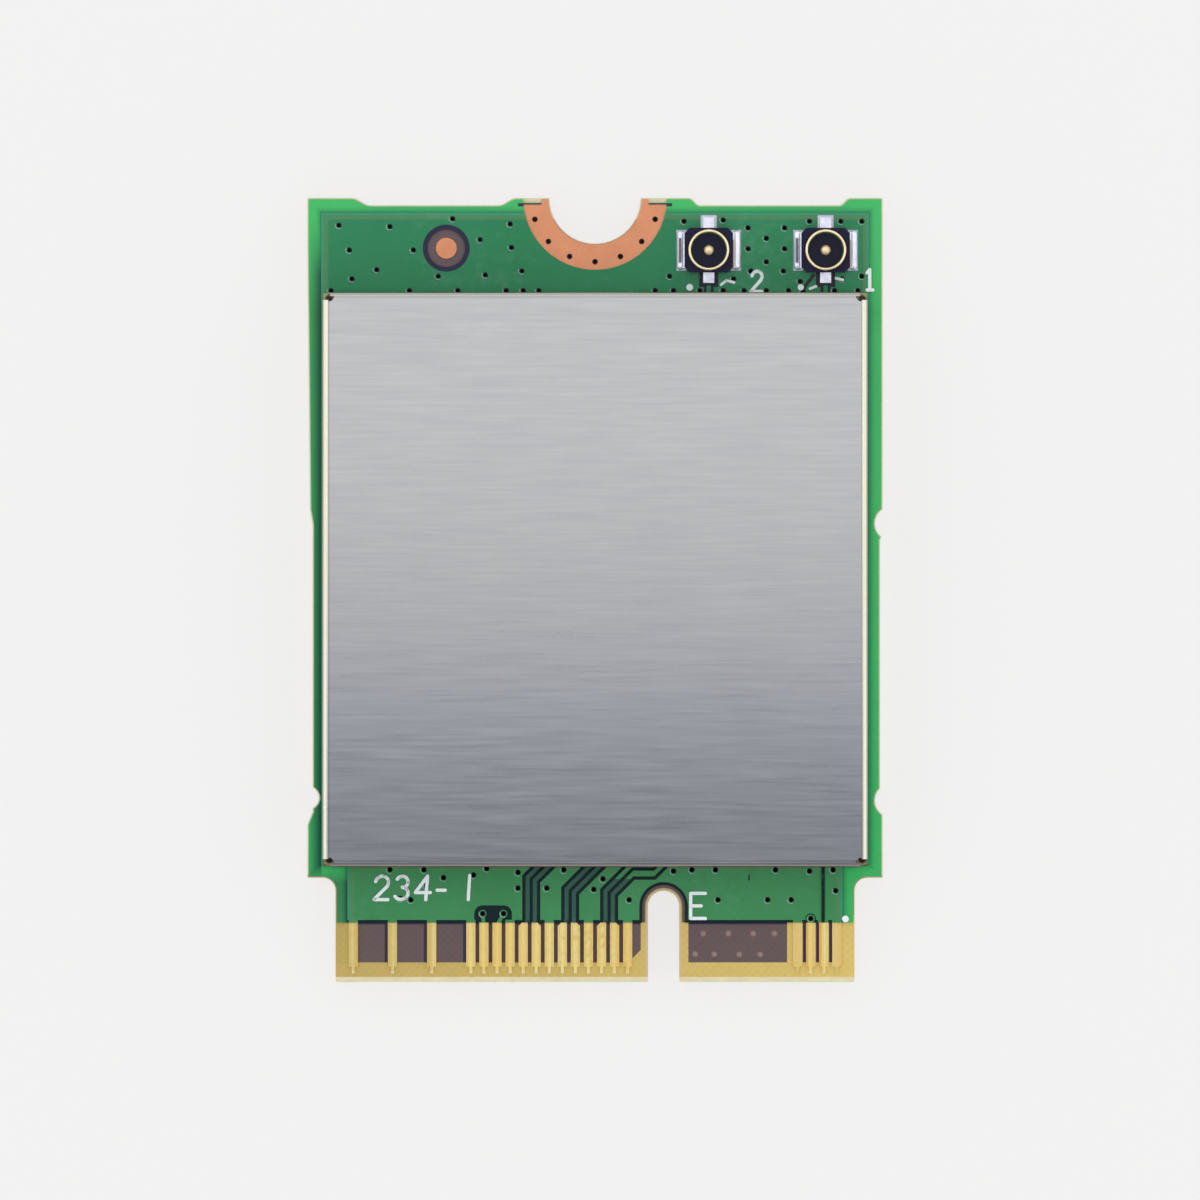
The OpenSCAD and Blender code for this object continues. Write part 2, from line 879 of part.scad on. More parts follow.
module copper_layer_top() {
    color([0.8, 0.5, 0.33])
        translate([0, 0, core_top])
            linear_extrude(foil_t)
                copper_top_plan();
}

module copper_layer_bottom() {
    color([0.8, 0.5, 0.33])
        translate([0, 0, mask_t])
            linear_extrude(foil_t)
                copper_bottom_plan();
}

// The mask fills the etched lines to just below its level on the copper
module solder_mask_top() {
    color([0.16, 0.52, 0.32])
        difference() {
            translate([0, 0, core_top])
                linear_extrude(foil_t + mask_t)
                    mask_top_plan();
            translate([0, 0, core_top])
                linear_extrude(foil_t)
                    copper_top_plan();
            translate([0, 0, mask_top - mask_dip])
                linear_extrude(1)
                    difference() {
                        square(2 * card_l, center = true);
                        copper_top_plan();
                    }
            translate([0, 0, core_top - eps])
                linear_extrude(foil_t + eps)
                    via_holes(via_d);
        }
}

module solder_mask_bottom() {
    color([0.16, 0.52, 0.32])
        difference() {
            linear_extrude(core_z)
                mask_bottom_plan();
            translate([0, 0, mask_t])
                linear_extrude(foil_t)
                    copper_bottom_plan();
            translate([0, 0, mask_dip - 1])
                linear_extrude(1)
                    difference() {
                        square(2 * card_l, center = true);
                        copper_bottom_plan();
                    }
            translate([0, 0, mask_t])
                linear_extrude(core_z)
                    via_holes(via_d);
        }
}

module contact_set(pins, z) {
    color([0.9, 0.75, 0.35])
        translate([0, 0, z])
            linear_extrude(foil_t)
                for (n = pins)
                    contact(n);
}

module edge_contacts_top() {
    contact_set(pins_top, core_top);
}

module edge_contacts_bottom() {
    contact_set(pins_bottom, mask_t);
}

module mounting_pad(z) {
    color([0.86, 0.55, 0.4])
        translate([0, 0, z])
            linear_extrude(foil_t)
                pad_plan();
}

module mounting_pad_top() {
    mounting_pad(core_top);
}

module mounting_pad_bottom() {
    mounting_pad(mask_t);
}

module plated_vias() {
    color([0.8, 0.5, 0.33])
        translate([0, 0, mask_t])
            linear_extrude(core_t + 2 * foil_t)
                difference() {
                    via_holes(via_d);
                    via_holes(via_bore);
                }
}

module fiducial_mark() {
    color([0.86, 0.55, 0.4])
        translate([fiducial[0], fiducial[1], core_top])
            cylinder(r = fiducial_r, h = foil_t);
}

module shield_lid() {
    color([0.72, 0.72, 0.74])
        translate([0, shield_y, 0])
            difference() {
                union() {
                    folded_box(shield_w, shield_l, card_h, lid_foot, lid_t, bend_r, end_bend_r);
                    at_dimples(shield_w, shield_l)
                        intersection() {
                            translate([0, -dimple_out, 0])
                                sphere(dimple_r + lid_t);
                            translate([-1, lid_t / 2, -1])
                                cube([2, 1, 2]);
                        }
                }
                at_dimples(shield_w, shield_l)
                    translate([0, -dimple_out, 0])
                        sphere(dimple_r);
            }
}

module shield_frame() {
    color([0.66, 0.66, 0.68])
        translate([0, shield_y, 0])
            difference() {
                folded_box(frame_w, frame_l, frame_top, land_z, frame_t, bend_r, bend_r);
                translate([0, 0, frame_top - 1])
                    linear_extrude(2)
                        square([frame_w - 2 * flange, frame_l - 2 * flange], center = true);
                at_dimples(frame_w, frame_l)
                    rotate([90, 0, 0])
                        cylinder(r = window_r, h = 1, center = true);
                translate([0, -shield_y, 0])
                    linear_extrude(land_z + foot_gap_h)
                        foot_gaps();
            }
}

// Ring, plate and three ground feet of a jack, drawn from one sheet
module jack_shell_shape() {
    r = jack_d / 2;
    lip = jack_wall / 2;
    rotate_extrude($fn = 64)
        difference() {
            union() {
                translate([r - jack_wall, plate_z - eps])
                    square([jack_wall, land_z + jack_h - lip - plate_z + eps]);
                polygon([
                    [r - jack_wall, plate_z - eps], [r + jack_root, plate_z - eps],
                    [r, base_top], [r - jack_wall, base_top]
                ]);
                translate([r - lip, land_z + jack_h - lip])
                    circle(lip, $fn = 24);
            }
            translate([r + groove_out, land_z + jack_h - groove_drop])
                circle(groove_r, $fn = 24);
        }
    translate([0, 0, mask_top])
        linear_extrude(jack_sheet)
            difference() {
                union() {
                    square([2 * tab_reach, tab[1]], center = true);
                    pad([end_tab[0], jack_end_y() + end_tab[1] / 2],
                        [0, (jack_end_y() + end_tab[1] / 2) / 2]);
                }
                circle(r - jack_wall);
                arm_channel();
            }
    translate([0, 0, land_z])
        linear_extrude(jack_sheet)
            difference() {
                jack_feet(0, true, false);
                square([jack_base[0], jack_base[1]], center = true);
            }
}

// Way out for the arm of the centre pin
module arm_channel() {
    translate([-pin_arm / 2 - 0.1, -2])
        square([pin_arm + 0.2, 2]);
}

module jack_pin_shape() {
    h = jack_h - pin_drop;
    translate([0, 0, mask_top])
        cylinder(r = pin_r, h = h - pin_r - mask_t);
    translate([0, 0, land_z + h - pin_r])
        sphere(pin_r);
    translate([-pin_arm / 2, -jack_end_y() - end_tab[1] / 2, mask_top])
        cube([pin_arm, jack_end_y() + end_tab[1] / 2, arm_t]);
    translate([0, 0, land_z])
        linear_extrude(jack_sheet + mask_t)
            jack_feet(0, false, true);
}

// Moulded base: the floor of its well is a many-sided plug in the plate's hole,
// held by a bridge below the ring
module jack_base_shape() {
    w = jack_base[0] / 2;
    l = jack_base[1] / 2;
    c = jack_cut;
    bore = jack_d / 2 - jack_wall;
    difference() {
        translate([0, 0, mask_top])
            linear_extrude(base_top - mask_top)
                polygon([
                    [-w + c, -l], [w - c, -l], [w, -l + c], [w, l - c],
                    [w - c, l], [-w + c, l], [-w, l - c], [-w, -l + c]
                ]);
        translate([0, 0, well_floor])
            cylinder(r = bore, h = 1);
        translate([0, 0, mask_top - eps])
            linear_extrude(well_floor - mask_top + 2 * eps)
                difference() {
                    circle(bore);
                    circle(bore - well_gap, $fn = well_sides);
                    arm_channel();
                }
        jack_shell_shape();
        jack_pin_shape();
    }
}

module at_jack(i) {
    translate([jack_x[i], jack_y, 0])
        children();
}

module jack_base_node(i) {
    color([0.12, 0.12, 0.2])
        at_jack(i)
            jack_base_shape();
}

module jack_shell_node(i) {
    color([0.88, 0.78, 0.5])
        at_jack(i)
            jack_shell_shape();
}

module jack_pin_node(i) {
    color([0.9, 0.75, 0.35])
        at_jack(i)
            jack_pin_shape();
}

// Half-round beads of solder over the side feet of both jacks
module jack_solder() {
    color([0.8, 0.8, 0.82])
        for (i = [0, 1], s = [-1, 1])
            at_jack(i)
                difference() {
                    translate([s * (jack_base[0] / 2 + solder_r), 0, land_z])
                        intersection() {
                            union() {
                                rotate([90, 0, 0])
                                    cylinder(r = solder_r, h = solder_l - 2 * solder_r, center = true);
                                for (e = [-1, 1])
                                    translate([0, e * (solder_l / 2 - solder_r), 0])
                                        sphere(solder_r);
                            }
                            translate([-1, -2, 0])
                                cube([2, 4, 1]);
                        }
                    jack_shell_shape();
                }
}

module wireless_chip() {
    color([0.15, 0.15, 0.16])
        placed(flat(chip_at))
            package(chip_size, chip_leads);
}

module front_end_modules() {
    color([0.2, 0.2, 0.22])
        placed(module_places())
            package(module_size, small_leads);
}

module antenna_filters() {
    color([0.85, 0.85, 0.8])
        placed(filter_places())
            two_ended(filter_size);
}

module reference_crystal() {
    color([0.8, 0.78, 0.7])
        placed(flat(crystal_at)) {
            translate([0, 0, land_z])
                linear_extrude(crystal_size[2] * crystal_rim)
                    square([crystal_size[0], crystal_size[1]], center = true);
            translate([0, 0, land_z])
                linear_extrude(crystal_size[2])
                    square([crystal_size[0] - crystal_can, crystal_size[1] - crystal_can],
                        center = true);
        }
}

module voltage_regulator() {
    color([0.15, 0.15, 0.16])
        placed(flat(regulator_at))
            package(regulator_size, small_leads);
}

module power_inductors() {
    color([0.35, 0.35, 0.36])
        placed(inductor_places())
            two_ended(inductor_size);
}

module matching_inductors() {
    color([0.5, 0.55, 0.7])
        placed(matching_places())
            two_ended(small_size);
}

module ceramic_capacitors() {
    color([0.6, 0.48, 0.36])
        placed(capacitors_at)
            two_ended(capacitor_size);
}

module chip_resistors() {
    color([0.2, 0.2, 0.2])
        placed(resistors_at)
            two_ended(small_size);
}

circuit_board();
copper_layer_top();
copper_layer_bottom();
solder_mask_top();
solder_mask_bottom();
edge_contacts_top();
edge_contacts_bottom();
mounting_pad_top();
mounting_pad_bottom();
plated_vias();
fiducial_mark();
shield_frame();
shield_lid();
jack_base_node(0);  // antenna_jack_1_base
jack_shell_node(0);  // antenna_jack_1_shell
jack_pin_node(0);  // antenna_jack_1_pin
jack_base_node(1);  // antenna_jack_2_base
jack_shell_node(1);  // antenna_jack_2_shell
jack_pin_node(1);  // antenna_jack_2_pin
jack_solder();
wireless_chip();
front_end_modules();
antenna_filters();
reference_crystal();
voltage_regulator();
power_inductors();
matching_inductors();
ceramic_capacitors();
chip_resistors();
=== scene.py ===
import math

import bmesh
import bpy
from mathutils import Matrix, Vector


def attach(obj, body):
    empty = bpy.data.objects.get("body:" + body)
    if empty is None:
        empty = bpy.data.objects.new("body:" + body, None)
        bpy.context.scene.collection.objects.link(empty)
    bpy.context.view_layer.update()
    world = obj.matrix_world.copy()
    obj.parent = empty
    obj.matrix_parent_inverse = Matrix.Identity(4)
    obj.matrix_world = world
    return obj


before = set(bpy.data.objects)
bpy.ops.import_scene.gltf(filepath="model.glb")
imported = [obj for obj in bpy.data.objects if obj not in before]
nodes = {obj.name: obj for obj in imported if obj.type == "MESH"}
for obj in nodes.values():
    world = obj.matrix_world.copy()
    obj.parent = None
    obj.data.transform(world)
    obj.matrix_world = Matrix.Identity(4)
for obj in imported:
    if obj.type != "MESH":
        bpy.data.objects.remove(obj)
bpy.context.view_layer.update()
mm = 0.001
print("frame loaded:", len(nodes), "parts of the card")

# Places and sizes that several finishes share, in millimetres, as the card's drawing has them
card = {
    "width": 22.0,
    "length": 30.0,
    "tongueWidth": 19.85,
    "tongueLength": 4.0,
    "coreTop": 0.80,
    "maskEdge": -12.72,
    "pourSide": 0.52,
    "pourTop": 0.56,
    "pourTongue": 0.45,
    "pitch": 0.5,
    "fingerHalf": 0.175,
    "midPin": 38,
    "fiducial": (-5.69, 13.08),
    "fiducialWindow": 1.1,
    "notchRadius": 1.75,
    "notchPad": 2.75,
    "jackX": (8.82, 4.35),
    "jackY": 13.0,
    "maskTop": 0.88,
}


def srgb(r, g, b):
    # A colour as a paint chart gives it, 0 to 255, made linear
    def linear(v):
        v /= 255
        return v / 12.92 if v < 0.04045 else ((v + 0.055) / 1.055) ** 2.4

    return (linear(r), linear(g), linear(b), 1.0)


def pinPlace(number):
    return (card["midPin"] - number) * card["pitch"] / 2


# Small helpers for shader trees

def feed(tree, socket, value):
    # A socket takes a link, a number, a vector or a colour
    if isinstance(value, bpy.types.NodeSocket):
        tree.links.new(value, socket)
    else:
        socket.default_value = value


def addNode(tree, kind, sockets=None, **settings):
    # Settings come first, because they decide which sockets a node has
    node = tree.nodes.new(kind)
    for key, value in settings.items():
        setattr(node, key, value)
    for key, value in (sockets or {}).items():
        feed(tree, node.inputs[key], value)
    return node


def calc(tree, operation, a, b=None, c=None):
    node = addNode(tree, "ShaderNodeMath", operation=operation)
    for socket, value in zip(node.inputs, (a, b, c)):
        if value is not None:
            feed(tree, socket, value)
    return node.outputs[0]


def between(tree, value, low, high, soft=0.004):
    # 1 where value lies between low and high, with soft ends
    up = calc(tree, "DIVIDE", calc(tree, "SUBTRACT", value, low), soft)
    down = calc(tree, "DIVIDE", calc(tree, "SUBTRACT", high, value), soft)
    return addNode(tree, "ShaderNodeClamp", {0: calc(tree, "MINIMUM", up, down)}).outputs[0]


def above(tree, value, low, soft=0.004):
    # 0 below low, rising to 1 over a soft width
    up = calc(tree, "DIVIDE", calc(tree, "SUBTRACT", value, low), soft)
    return addNode(tree, "ShaderNodeClamp", {0: up}).outputs[0]


def below(tree, value, high, soft=0.004):
    # 0 above high, rising to 1 over a soft width
    return above(tree, calc(tree, "MULTIPLY", value, -1), -high, soft)


def anyOf(tree, masks):
    found = masks[0]
    for mask in masks[1:]:
        found = calc(tree, "MAXIMUM", found, mask)
    return found


def allOf(tree, masks):
    found = masks[0]
    for mask in masks[1:]:
        found = calc(tree, "MULTIPLY", found, mask)
    return found


def awayFrom(tree, x, y, place):
    # Distance in plan from a place on the card
    spot = addNode(tree, "ShaderNodeCombineXYZ", {0: x, 1: y}).outputs[0]
    far = addNode(tree, "ShaderNodeVectorMath", {0: spot, 1: (*place, 0)}, operation="DISTANCE")
    return far.outputs["Value"]


def partsOf(tree, vector):
    return tuple(addNode(tree, "ShaderNodeSeparateXYZ", {0: vector}).outputs)


def facing(tree):
    # The three parts of the surface's own normal
    return partsOf(tree, addNode(tree, "ShaderNodeNewGeometry").outputs["True Normal"])


def blend(tree, mask, first, second):
    sockets = {"Factor": mask, "A": first, "B": second}
    return addNode(tree, "ShaderNodeMix", sockets, data_type="RGBA").outputs["Result"]


def scaled(tree, colour, factor):
    # Colour made lighter or darker by a factor that varies over the surface
    sockets = {0: colour, "Scale": factor}
    return addNode(tree, "ShaderNodeVectorMath", sockets, operation="SCALE").outputs[0]


def spread(tree, value, low, high):
    # 0 to 1 laid out over low to high
    return addNode(tree, "ShaderNodeMapRange", {"Value": value, "To Min": low, "To Max": high}).outputs[0]


def placeInMm(tree):
    # Place on the card in millimetres: the vector and its three parts
    spot = scaled(tree, addNode(tree, "ShaderNodeTexCoord").outputs["Object"], 1 / mm)
    return (spot, *partsOf(tree, spot))


def noiseAt(tree, spot, scale, detail=2.0, stretch=(1, 1, 1), roughness=0.5):
    mapping = addNode(tree, "ShaderNodeMapping", {"Vector": spot, "Scale": stretch})
    sockets = {"Vector": mapping.outputs[0], "Scale": scale, "Detail": detail, "Roughness": roughness}
    return addNode(tree, "ShaderNodeTexNoise", sockets).outputs["Fac"]


# Node groups that several finishes share

def newGroup(name, inputs, outputs):
    tree = bpy.data.node_groups.new(name, "ShaderNodeTree")
    for label, value in inputs:
        socket = tree.interface.new_socket(label, in_out="INPUT", socket_type="NodeSocketFloat")
        socket.default_value = value
    for label in outputs:
        tree.interface.new_socket(label, in_out="OUTPUT", socket_type="NodeSocketFloat")
    return tree, addNode(tree, "NodeGroupInput"), addNode(tree, "NodeGroupOutput")


def makeMouldGrain():
    # Fine even grain with slow patches, for moulded, fired and coated surfaces
    tree, given, out = newGroup(
        "mouldGrain", [("Grain per mm", 18.0), ("Patches per mm", 0.6)], ["Tone", "Height"]
    )
    spot = placeInMm(tree)[0]
    fine = noiseAt(tree, spot, given.outputs["Grain per mm"], 3.0)
    slow = noiseAt(tree, spot, given.outputs["Patches per mm"], 2.0)
    both = calc(tree, "ADD", calc(tree, "MULTIPLY", fine, 0.5), calc(tree, "MULTIPLY", slow, 0.5))
    feed(tree, out.inputs["Tone"], both)
    feed(tree, out.inputs["Height"], fine)
    return tree


def makeDrawnLines():
    # Fine lines along X, as rolling and brushing leave them on sheet metal, turned down over the side walls
    tree, given, out = newGroup(
        "drawnLines", [("Lines per mm", 11.0), ("Length mm", 3.0)], ["Tone", "Height"]
    )
    _, x, y, z = placeInMm(tree)
    sideways = calc(tree, "GREATER_THAN", calc(tree, "ABSOLUTE", facing(tree)[0]), 0.7)
    across = calc(tree, "ADD", y, calc(tree, "MULTIPLY", z, calc(tree, "SUBTRACT", 1.0, sideways)))
    along = calc(tree, "DIVIDE", calc(tree, "ADD", x, z), given.outputs["Length mm"])
    tones = []
    for share, offset in ((1.0, 0.0), (0.31, 17.0)):
        lines = calc(tree, "MULTIPLY", given.outputs["Lines per mm"], share)
        sockets = {0: along, 1: calc(tree, "MULTIPLY", across, lines), 2: offset}
        spot = addNode(tree, "ShaderNodeCombineXYZ", sockets).outputs[0]
        tones.append(noiseAt(tree, spot, 1.0, 1.0))
    both = calc(tree, "ADD", calc(tree, "MULTIPLY", tones[0], 0.6), calc(tree, "MULTIPLY", tones[1], 0.4))
    feed(tree, out.inputs["Tone"], both)
    feed(tree, out.inputs["Height"], tones[0])
    return tree


def makeHandling():
    # Sparse scuffs and specks that handling leaves on metal and coating
    tree, given, out = newGroup("handling", [("Specks per mm", 3.0), ("Amount", 0.5)], ["Mask"])
    spot = placeInMm(tree)[0]
    speck = noiseAt(tree, spot, given.outputs["Specks per mm"], 5.0)
    both = calc(tree, "MULTIPLY", speck, noiseAt(tree, spot, 0.25, 1.0))
    ramp = addNode(tree, "ShaderNodeMapRange", {"Value": both, "From Min": 0.31, "From Max": 0.42})
    feed(tree, out.inputs["Mask"], calc(tree, "MULTIPLY", ramp.outputs[0], given.outputs["Amount"]))
    return tree


groups = {"grain": makeMouldGrain(), "lines": makeDrawnLines(), "handling": makeHandling()}


def useGroup(tree, name, **values):
    node = addNode(tree, "ShaderNodeGroup")
    node.node_tree = groups[name]
    for key, value in values.items():
        node.inputs[key.replace("_", " ")].default_value = value
    return node


def newFinish(name, roughness, metallic=0.0, specular=0.5):
    material = bpy.data.materials.new(name)
    material.use_nodes = True
    tree = material.node_tree
    shader = tree.nodes["Principled BSDF"]
    shader.inputs["Roughness"].default_value = roughness
    shader.inputs["Metallic"].default_value = metallic
    shader.inputs["Specular IOR Level"].default_value = specular
    return material, tree, shader


def raiseBump(tree, shader, height, strength, distance):
    bump = addNode(tree, "ShaderNodeBump", {"Height": height, "Strength": strength, "Distance": distance})
    feed(tree, shader.inputs["Normal"], bump.outputs[0])


# Laminate: cream where it is cut, golden at the contacts, brown over the buried plane
laminateLook = {
    "cut": srgb(226, 212, 170),
    "face": srgb(196, 170, 120),
    "contactField": srgb(193, 167, 90),
    "contactFieldRight": srgb(226, 194, 108),
    "endStrip": srgb(200, 170, 94),
    "endStripRight": srgb(224, 194, 106),
    "buriedPlane": srgb(102, 82, 82),
    # Painted shade: the plane is darker between the close fingers, for their edges' shadows
    "narrowGapShade": srgb(84, 56, 56),
    "gapLine": srgb(50, 38, 62),
    "maskShade": srgb(34, 30, 58),
    "buriedVia": srgb(160, 130, 112),
    "slotRim": srgb(216, 186, 132),
    "slotRing": srgb(104, 88, 78),
    "planes": ((-9.16, 1.76), (3.56, 7.36)),
    "planeLow": -14.26,
    "planeCut": 0.5,
    "underMask": 0.3,
    "fiducialPlane": 0.95,
    "linedPins": (69, 63, 57, 5, 3, 1),
    "lineWidth": 0.14,
    "narrowPins": (57, 33),
    "buriedVias": (
        (4.14, -13.14), (5.1, -13.14), (6.05, -13.14), (6.86, -13.14),
        (3.83, -13.93), (4.56, -13.93), (5.52, -13.94), (6.32, -13.94),
    ),
    "buriedViaSize": 0.13,
    "weave": 21.0,
    "slot": (2.625, -12.1),
    "slotRimTo": 0.72,
    "slotRingTo": 0.95,
    # Reach of the painted dark ring round the jacks' feet
    "ringShadeReach": 1.7,
    # The strip along the outline that the mask leaves bare
    "rimSide": 10.4,
    "rimTop": 14.2,
    "rimLow": -10.9,
}


def buriedPlane(tree, x, y):
    # The buried planes end short of the tongue's end, with one cut corner beside the key slot
    look = laminateLook
    left, right = look["planes"]
    across = anyOf(tree, [between(tree, x, *side, 0.02) for side in (left, right)])
    along = between(tree, y, look["planeLow"], card["maskEdge"] + look["underMask"], 0.03)
    corner = look["planeLow"] - left[1] + look["planeCut"]
    cutOff = allOf(tree, [
        calc(tree, "LESS_THAN", calc(tree, "SUBTRACT", y, x), corner),
        calc(tree, "LESS_THAN", x, left[1] + look["planeCut"]),
    ])
    plane = allOf(tree, [across, along, calc(tree, "SUBTRACT", 1.0, cutOff)])
    target = calc(tree, "LESS_THAN", awayFrom(tree, x, y, card["fiducial"]), look["fiducialPlane"])
    return anyOf(tree, [plane, target]), along


def makeLaminate():
    look = laminateLook
    material, tree, shader = newFinish("laminateFinish", 0.5, specular=0.3)
    spot, x, y, z = placeInMm(tree)
    plane, along = buriedPlane(tree, x, y)
    lines = []
    for pin in look["linedPins"]:
        edge = pinPlace(pin) - card["fingerHalf"]
        lines.append(between(tree, x, edge - look["lineWidth"], edge + 0.02, 0.03))
    narrow = between(tree, x, *(pinPlace(pin) for pin in look["narrowPins"]), 0.05)
    spots = [between(tree, awayFrom(tree, x, y, place), -1, look["buriedViaSize"], 0.06)
             for place in look["buriedVias"]]
    weave = allOf(tree, [calc(tree, "SINE", calc(tree, "MULTIPLY", v, look["weave"])) for v in (x, y)])
    grain = useGroup(tree, "grain", Grain_per_mm=9.0, Patches_per_mm=0.8)
    flat = calc(tree, "GREATER_THAN", calc(tree, "ABSOLUTE", facing(tree)[2]), 0.9)
    # The weave shows on the faces and the glass plies on the cut edges
    plies = noiseAt(tree, spot, 3.0, 2.0, stretch=(0.8, 0.8, 5.0))
    cutEdge = calc(tree, "SUBTRACT", 1.0, flat)
    pattern = calc(tree, "ADD", calc(tree, "MULTIPLY", allOf(tree, [weave, flat]), 0.03),
                   calc(tree, "MULTIPLY", cutEdge, spread(tree, plies, -0.14, 0.14)))
    tone = calc(tree, "ADD", spread(tree, grain.outputs["Tone"], 0.86, 1.14), pattern)
    field = calc(tree, "LESS_THAN", y, card["maskEdge"] + look["underMask"])
    rightward = above(tree, x, -card["tongueWidth"] / 2, card["tongueWidth"])
    strip = blend(tree, rightward, look["contactField"], look["contactFieldRight"])
    lastStrip = blend(tree, rightward, look["endStrip"], look["endStripRight"])
    base = blend(tree, field, look["face"], strip)
    base = blend(tree, below(tree, y, look["planeLow"], 0.1), base, lastStrip)
    base = blend(tree, plane, base, look["buriedPlane"])
    # Painted shade of the fingers' edges between the close fingers
    base = blend(tree, allOf(tree, [plane, narrow, field]), base, look["narrowGapShade"])
    base = blend(tree, allOf(tree, [anyOf(tree, lines), along]), base, look["gapLine"])
    base = blend(tree, calc(tree, "MULTIPLY", anyOf(tree, spots), 0.8), base, look["buriedVia"])
    # Bare rings round the jacks' signal feet are painted dark, as shade in the gap beside the feet
    far = nearJacks(tree, x, y)[0]
    ringShade = allOf(tree, [calc(tree, "LESS_THAN", far, look["ringShadeReach"]),
                        calc(tree, "GREATER_THAN", z, card["coreTop"] - 0.02)])
    base = blend(tree, ringShade, base, metalLook["jackRingShade"])
    # The mask's edge shades the plane beside it
    shade = allOf(tree, [plane, between(tree, y, card["maskEdge"] - 0.09, card["maskEdge"] + 0.1, 0.05)])
    base = blend(tree, shade, base, look["maskShade"])
    # The key slot is lined: pale at the routed edge, dark where the mask begins
    slotX, slotY = look["slot"]
    beside = calc(tree, "ABSOLUTE", calc(tree, "SUBTRACT", x, slotX))
    atTop = allOf(tree, [awayFrom(tree, x, y, look["slot"]), calc(tree, "GREATER_THAN", y, slotY)])
    fromSlot = calc(tree, "MAXIMUM", beside, atTop)
    ring = allOf(tree, [between(tree, fromSlot, 0, look["slotRingTo"]),
                        calc(tree, "GREATER_THAN", y, card["maskEdge"])])
    base = blend(tree, ring, base, look["slotRing"])
    base = blend(tree, between(tree, fromSlot, 0, look["slotRimTo"], 0.05), base, look["slotRim"])
    side = calc(tree, "GREATER_THAN", calc(tree, "ABSOLUTE", x), look["rimSide"])
    top = calc(tree, "GREATER_THAN", y, look["rimTop"])
    rim = allOf(tree, [calc(tree, "GREATER_THAN", y, look["rimLow"]), anyOf(tree, [side, top])])
    base = blend(tree, anyOf(tree, [cutEdge, rim]), base, look["cut"])
    feed(tree, shader.inputs["Base Color"], scaled(tree, base, tone))
    raiseBump(tree, shader, grain.outputs["Height"], 0.25, 0.00002)
    return material


# Solder mask: mid green over copper, vivid where light passes through bare board, near black in the etching
# gaps and above the single trace, partly their own dark and partly painted shade
maskLook = {
    "overCopper": srgb(18, 120, 70),
    "overCopperLight": srgb(38, 134, 86),
    "lowerCopper": srgb(54, 136, 78),
    "lowerCopperLight": srgb(76, 148, 92),
    "plainBoard": srgb(74, 203, 102),
    "plainBoardDark": srgb(52, 182, 102),
    "tongueLeft": srgb(58, 136, 84),
    "traceShade": srgb(44, 68, 70),
    "traceShadeShare": 0.75,
    "fiducialRim": srgb(26, 26, 54),
    # Painted shadow of the pour's edge on the bare board
    "pourEdgeShadow": srgb(2, 66, 52),
    "pourEdge": srgb(98, 136, 86),
    "pourBand": (-0.3, -0.06),
    "pourCrest": srgb(56, 152, 116),
    "crestFrom": -0.13,
    # Painted light: bare board is lighter beside the lid than at the card's ends
    "litBesideLid": (-10.6, 10.6),
    # The etching gaps: dark of their own and partly painted shade
    "etched": srgb(0, 28, 32),
    "bars": srgb(44, 40, 66),
    "scuffs": srgb(96, 160, 120),
    "slopeWidth": 0.3,
    "slopeWidthLeft": 0.55,
    # Left border: its inner side, and the y where its shade by the pour sets in, with the stretch it takes
    "leftBorder": -10.47,
    "leftShade": (14.4, 2.4),
    # The border left of the tongue has a green of its own, below the shoulder
    "tongueSide": -9.3,
    "shoulder": (-10.7, 0.5),
    # Copper changes from its upper to its lower tone over this stretch of y
    "lowerTone": (11.0, 21.0),
    # A faint line inside the pour's right edge: place and half width
    "innerLine": (10.23, 0.03),
    # The single trace: place, half the gap in the pour, half the dark line seen in it
    "single": (8.725, 0.2, 0.08),
    "singleTop": -10.0,
    # Dark bars where the notch pad ends, and a short nick with its half sizes
    "barsPlace": (14.66, 14.82),
    "nick": (5.89, -11.0, 0.045, 0.13),
    "faces": {"top": (0.88, 0.86), "bottom": (0.0, 0.02)},
    # Trace pairs: place of the middle line's bend, and how far above it the run stays diagonal
    "traces": ((-2.44, -11.05, 3.0), (-0.95, -11.5, 3.0), (0.54, -11.57, 0.52)),
    "traceStep": 0.28,
    "traceLine": 0.068,
}


def pourDistance(tree, x, y):
    # How far outside the copper pour's outline a place is, in mm: less than 0 inside
    wide = calc(tree, "ABSOLUTE", x)
    shoulder = -card["length"] / 2 + card["tongueLength"] + card["pourSide"]
    side = calc(tree, "SUBTRACT", wide, card["width"] / 2 - card["pourSide"])
    top = calc(tree, "SUBTRACT", y, card["length"] / 2 - card["pourTop"])
    low = calc(tree, "SUBTRACT", shoulder, y)
    body = calc(tree, "MAXIMUM", calc(tree, "MAXIMUM", side, top), low)
    tongueSide = calc(tree, "SUBTRACT", wide, card["tongueWidth"] / 2 - card["pourTongue"])
    tongue = calc(tree, "MAXIMUM", tongueSide, calc(tree, "SUBTRACT", y, shoulder))
    return calc(tree, "MINIMUM", body, tongue)


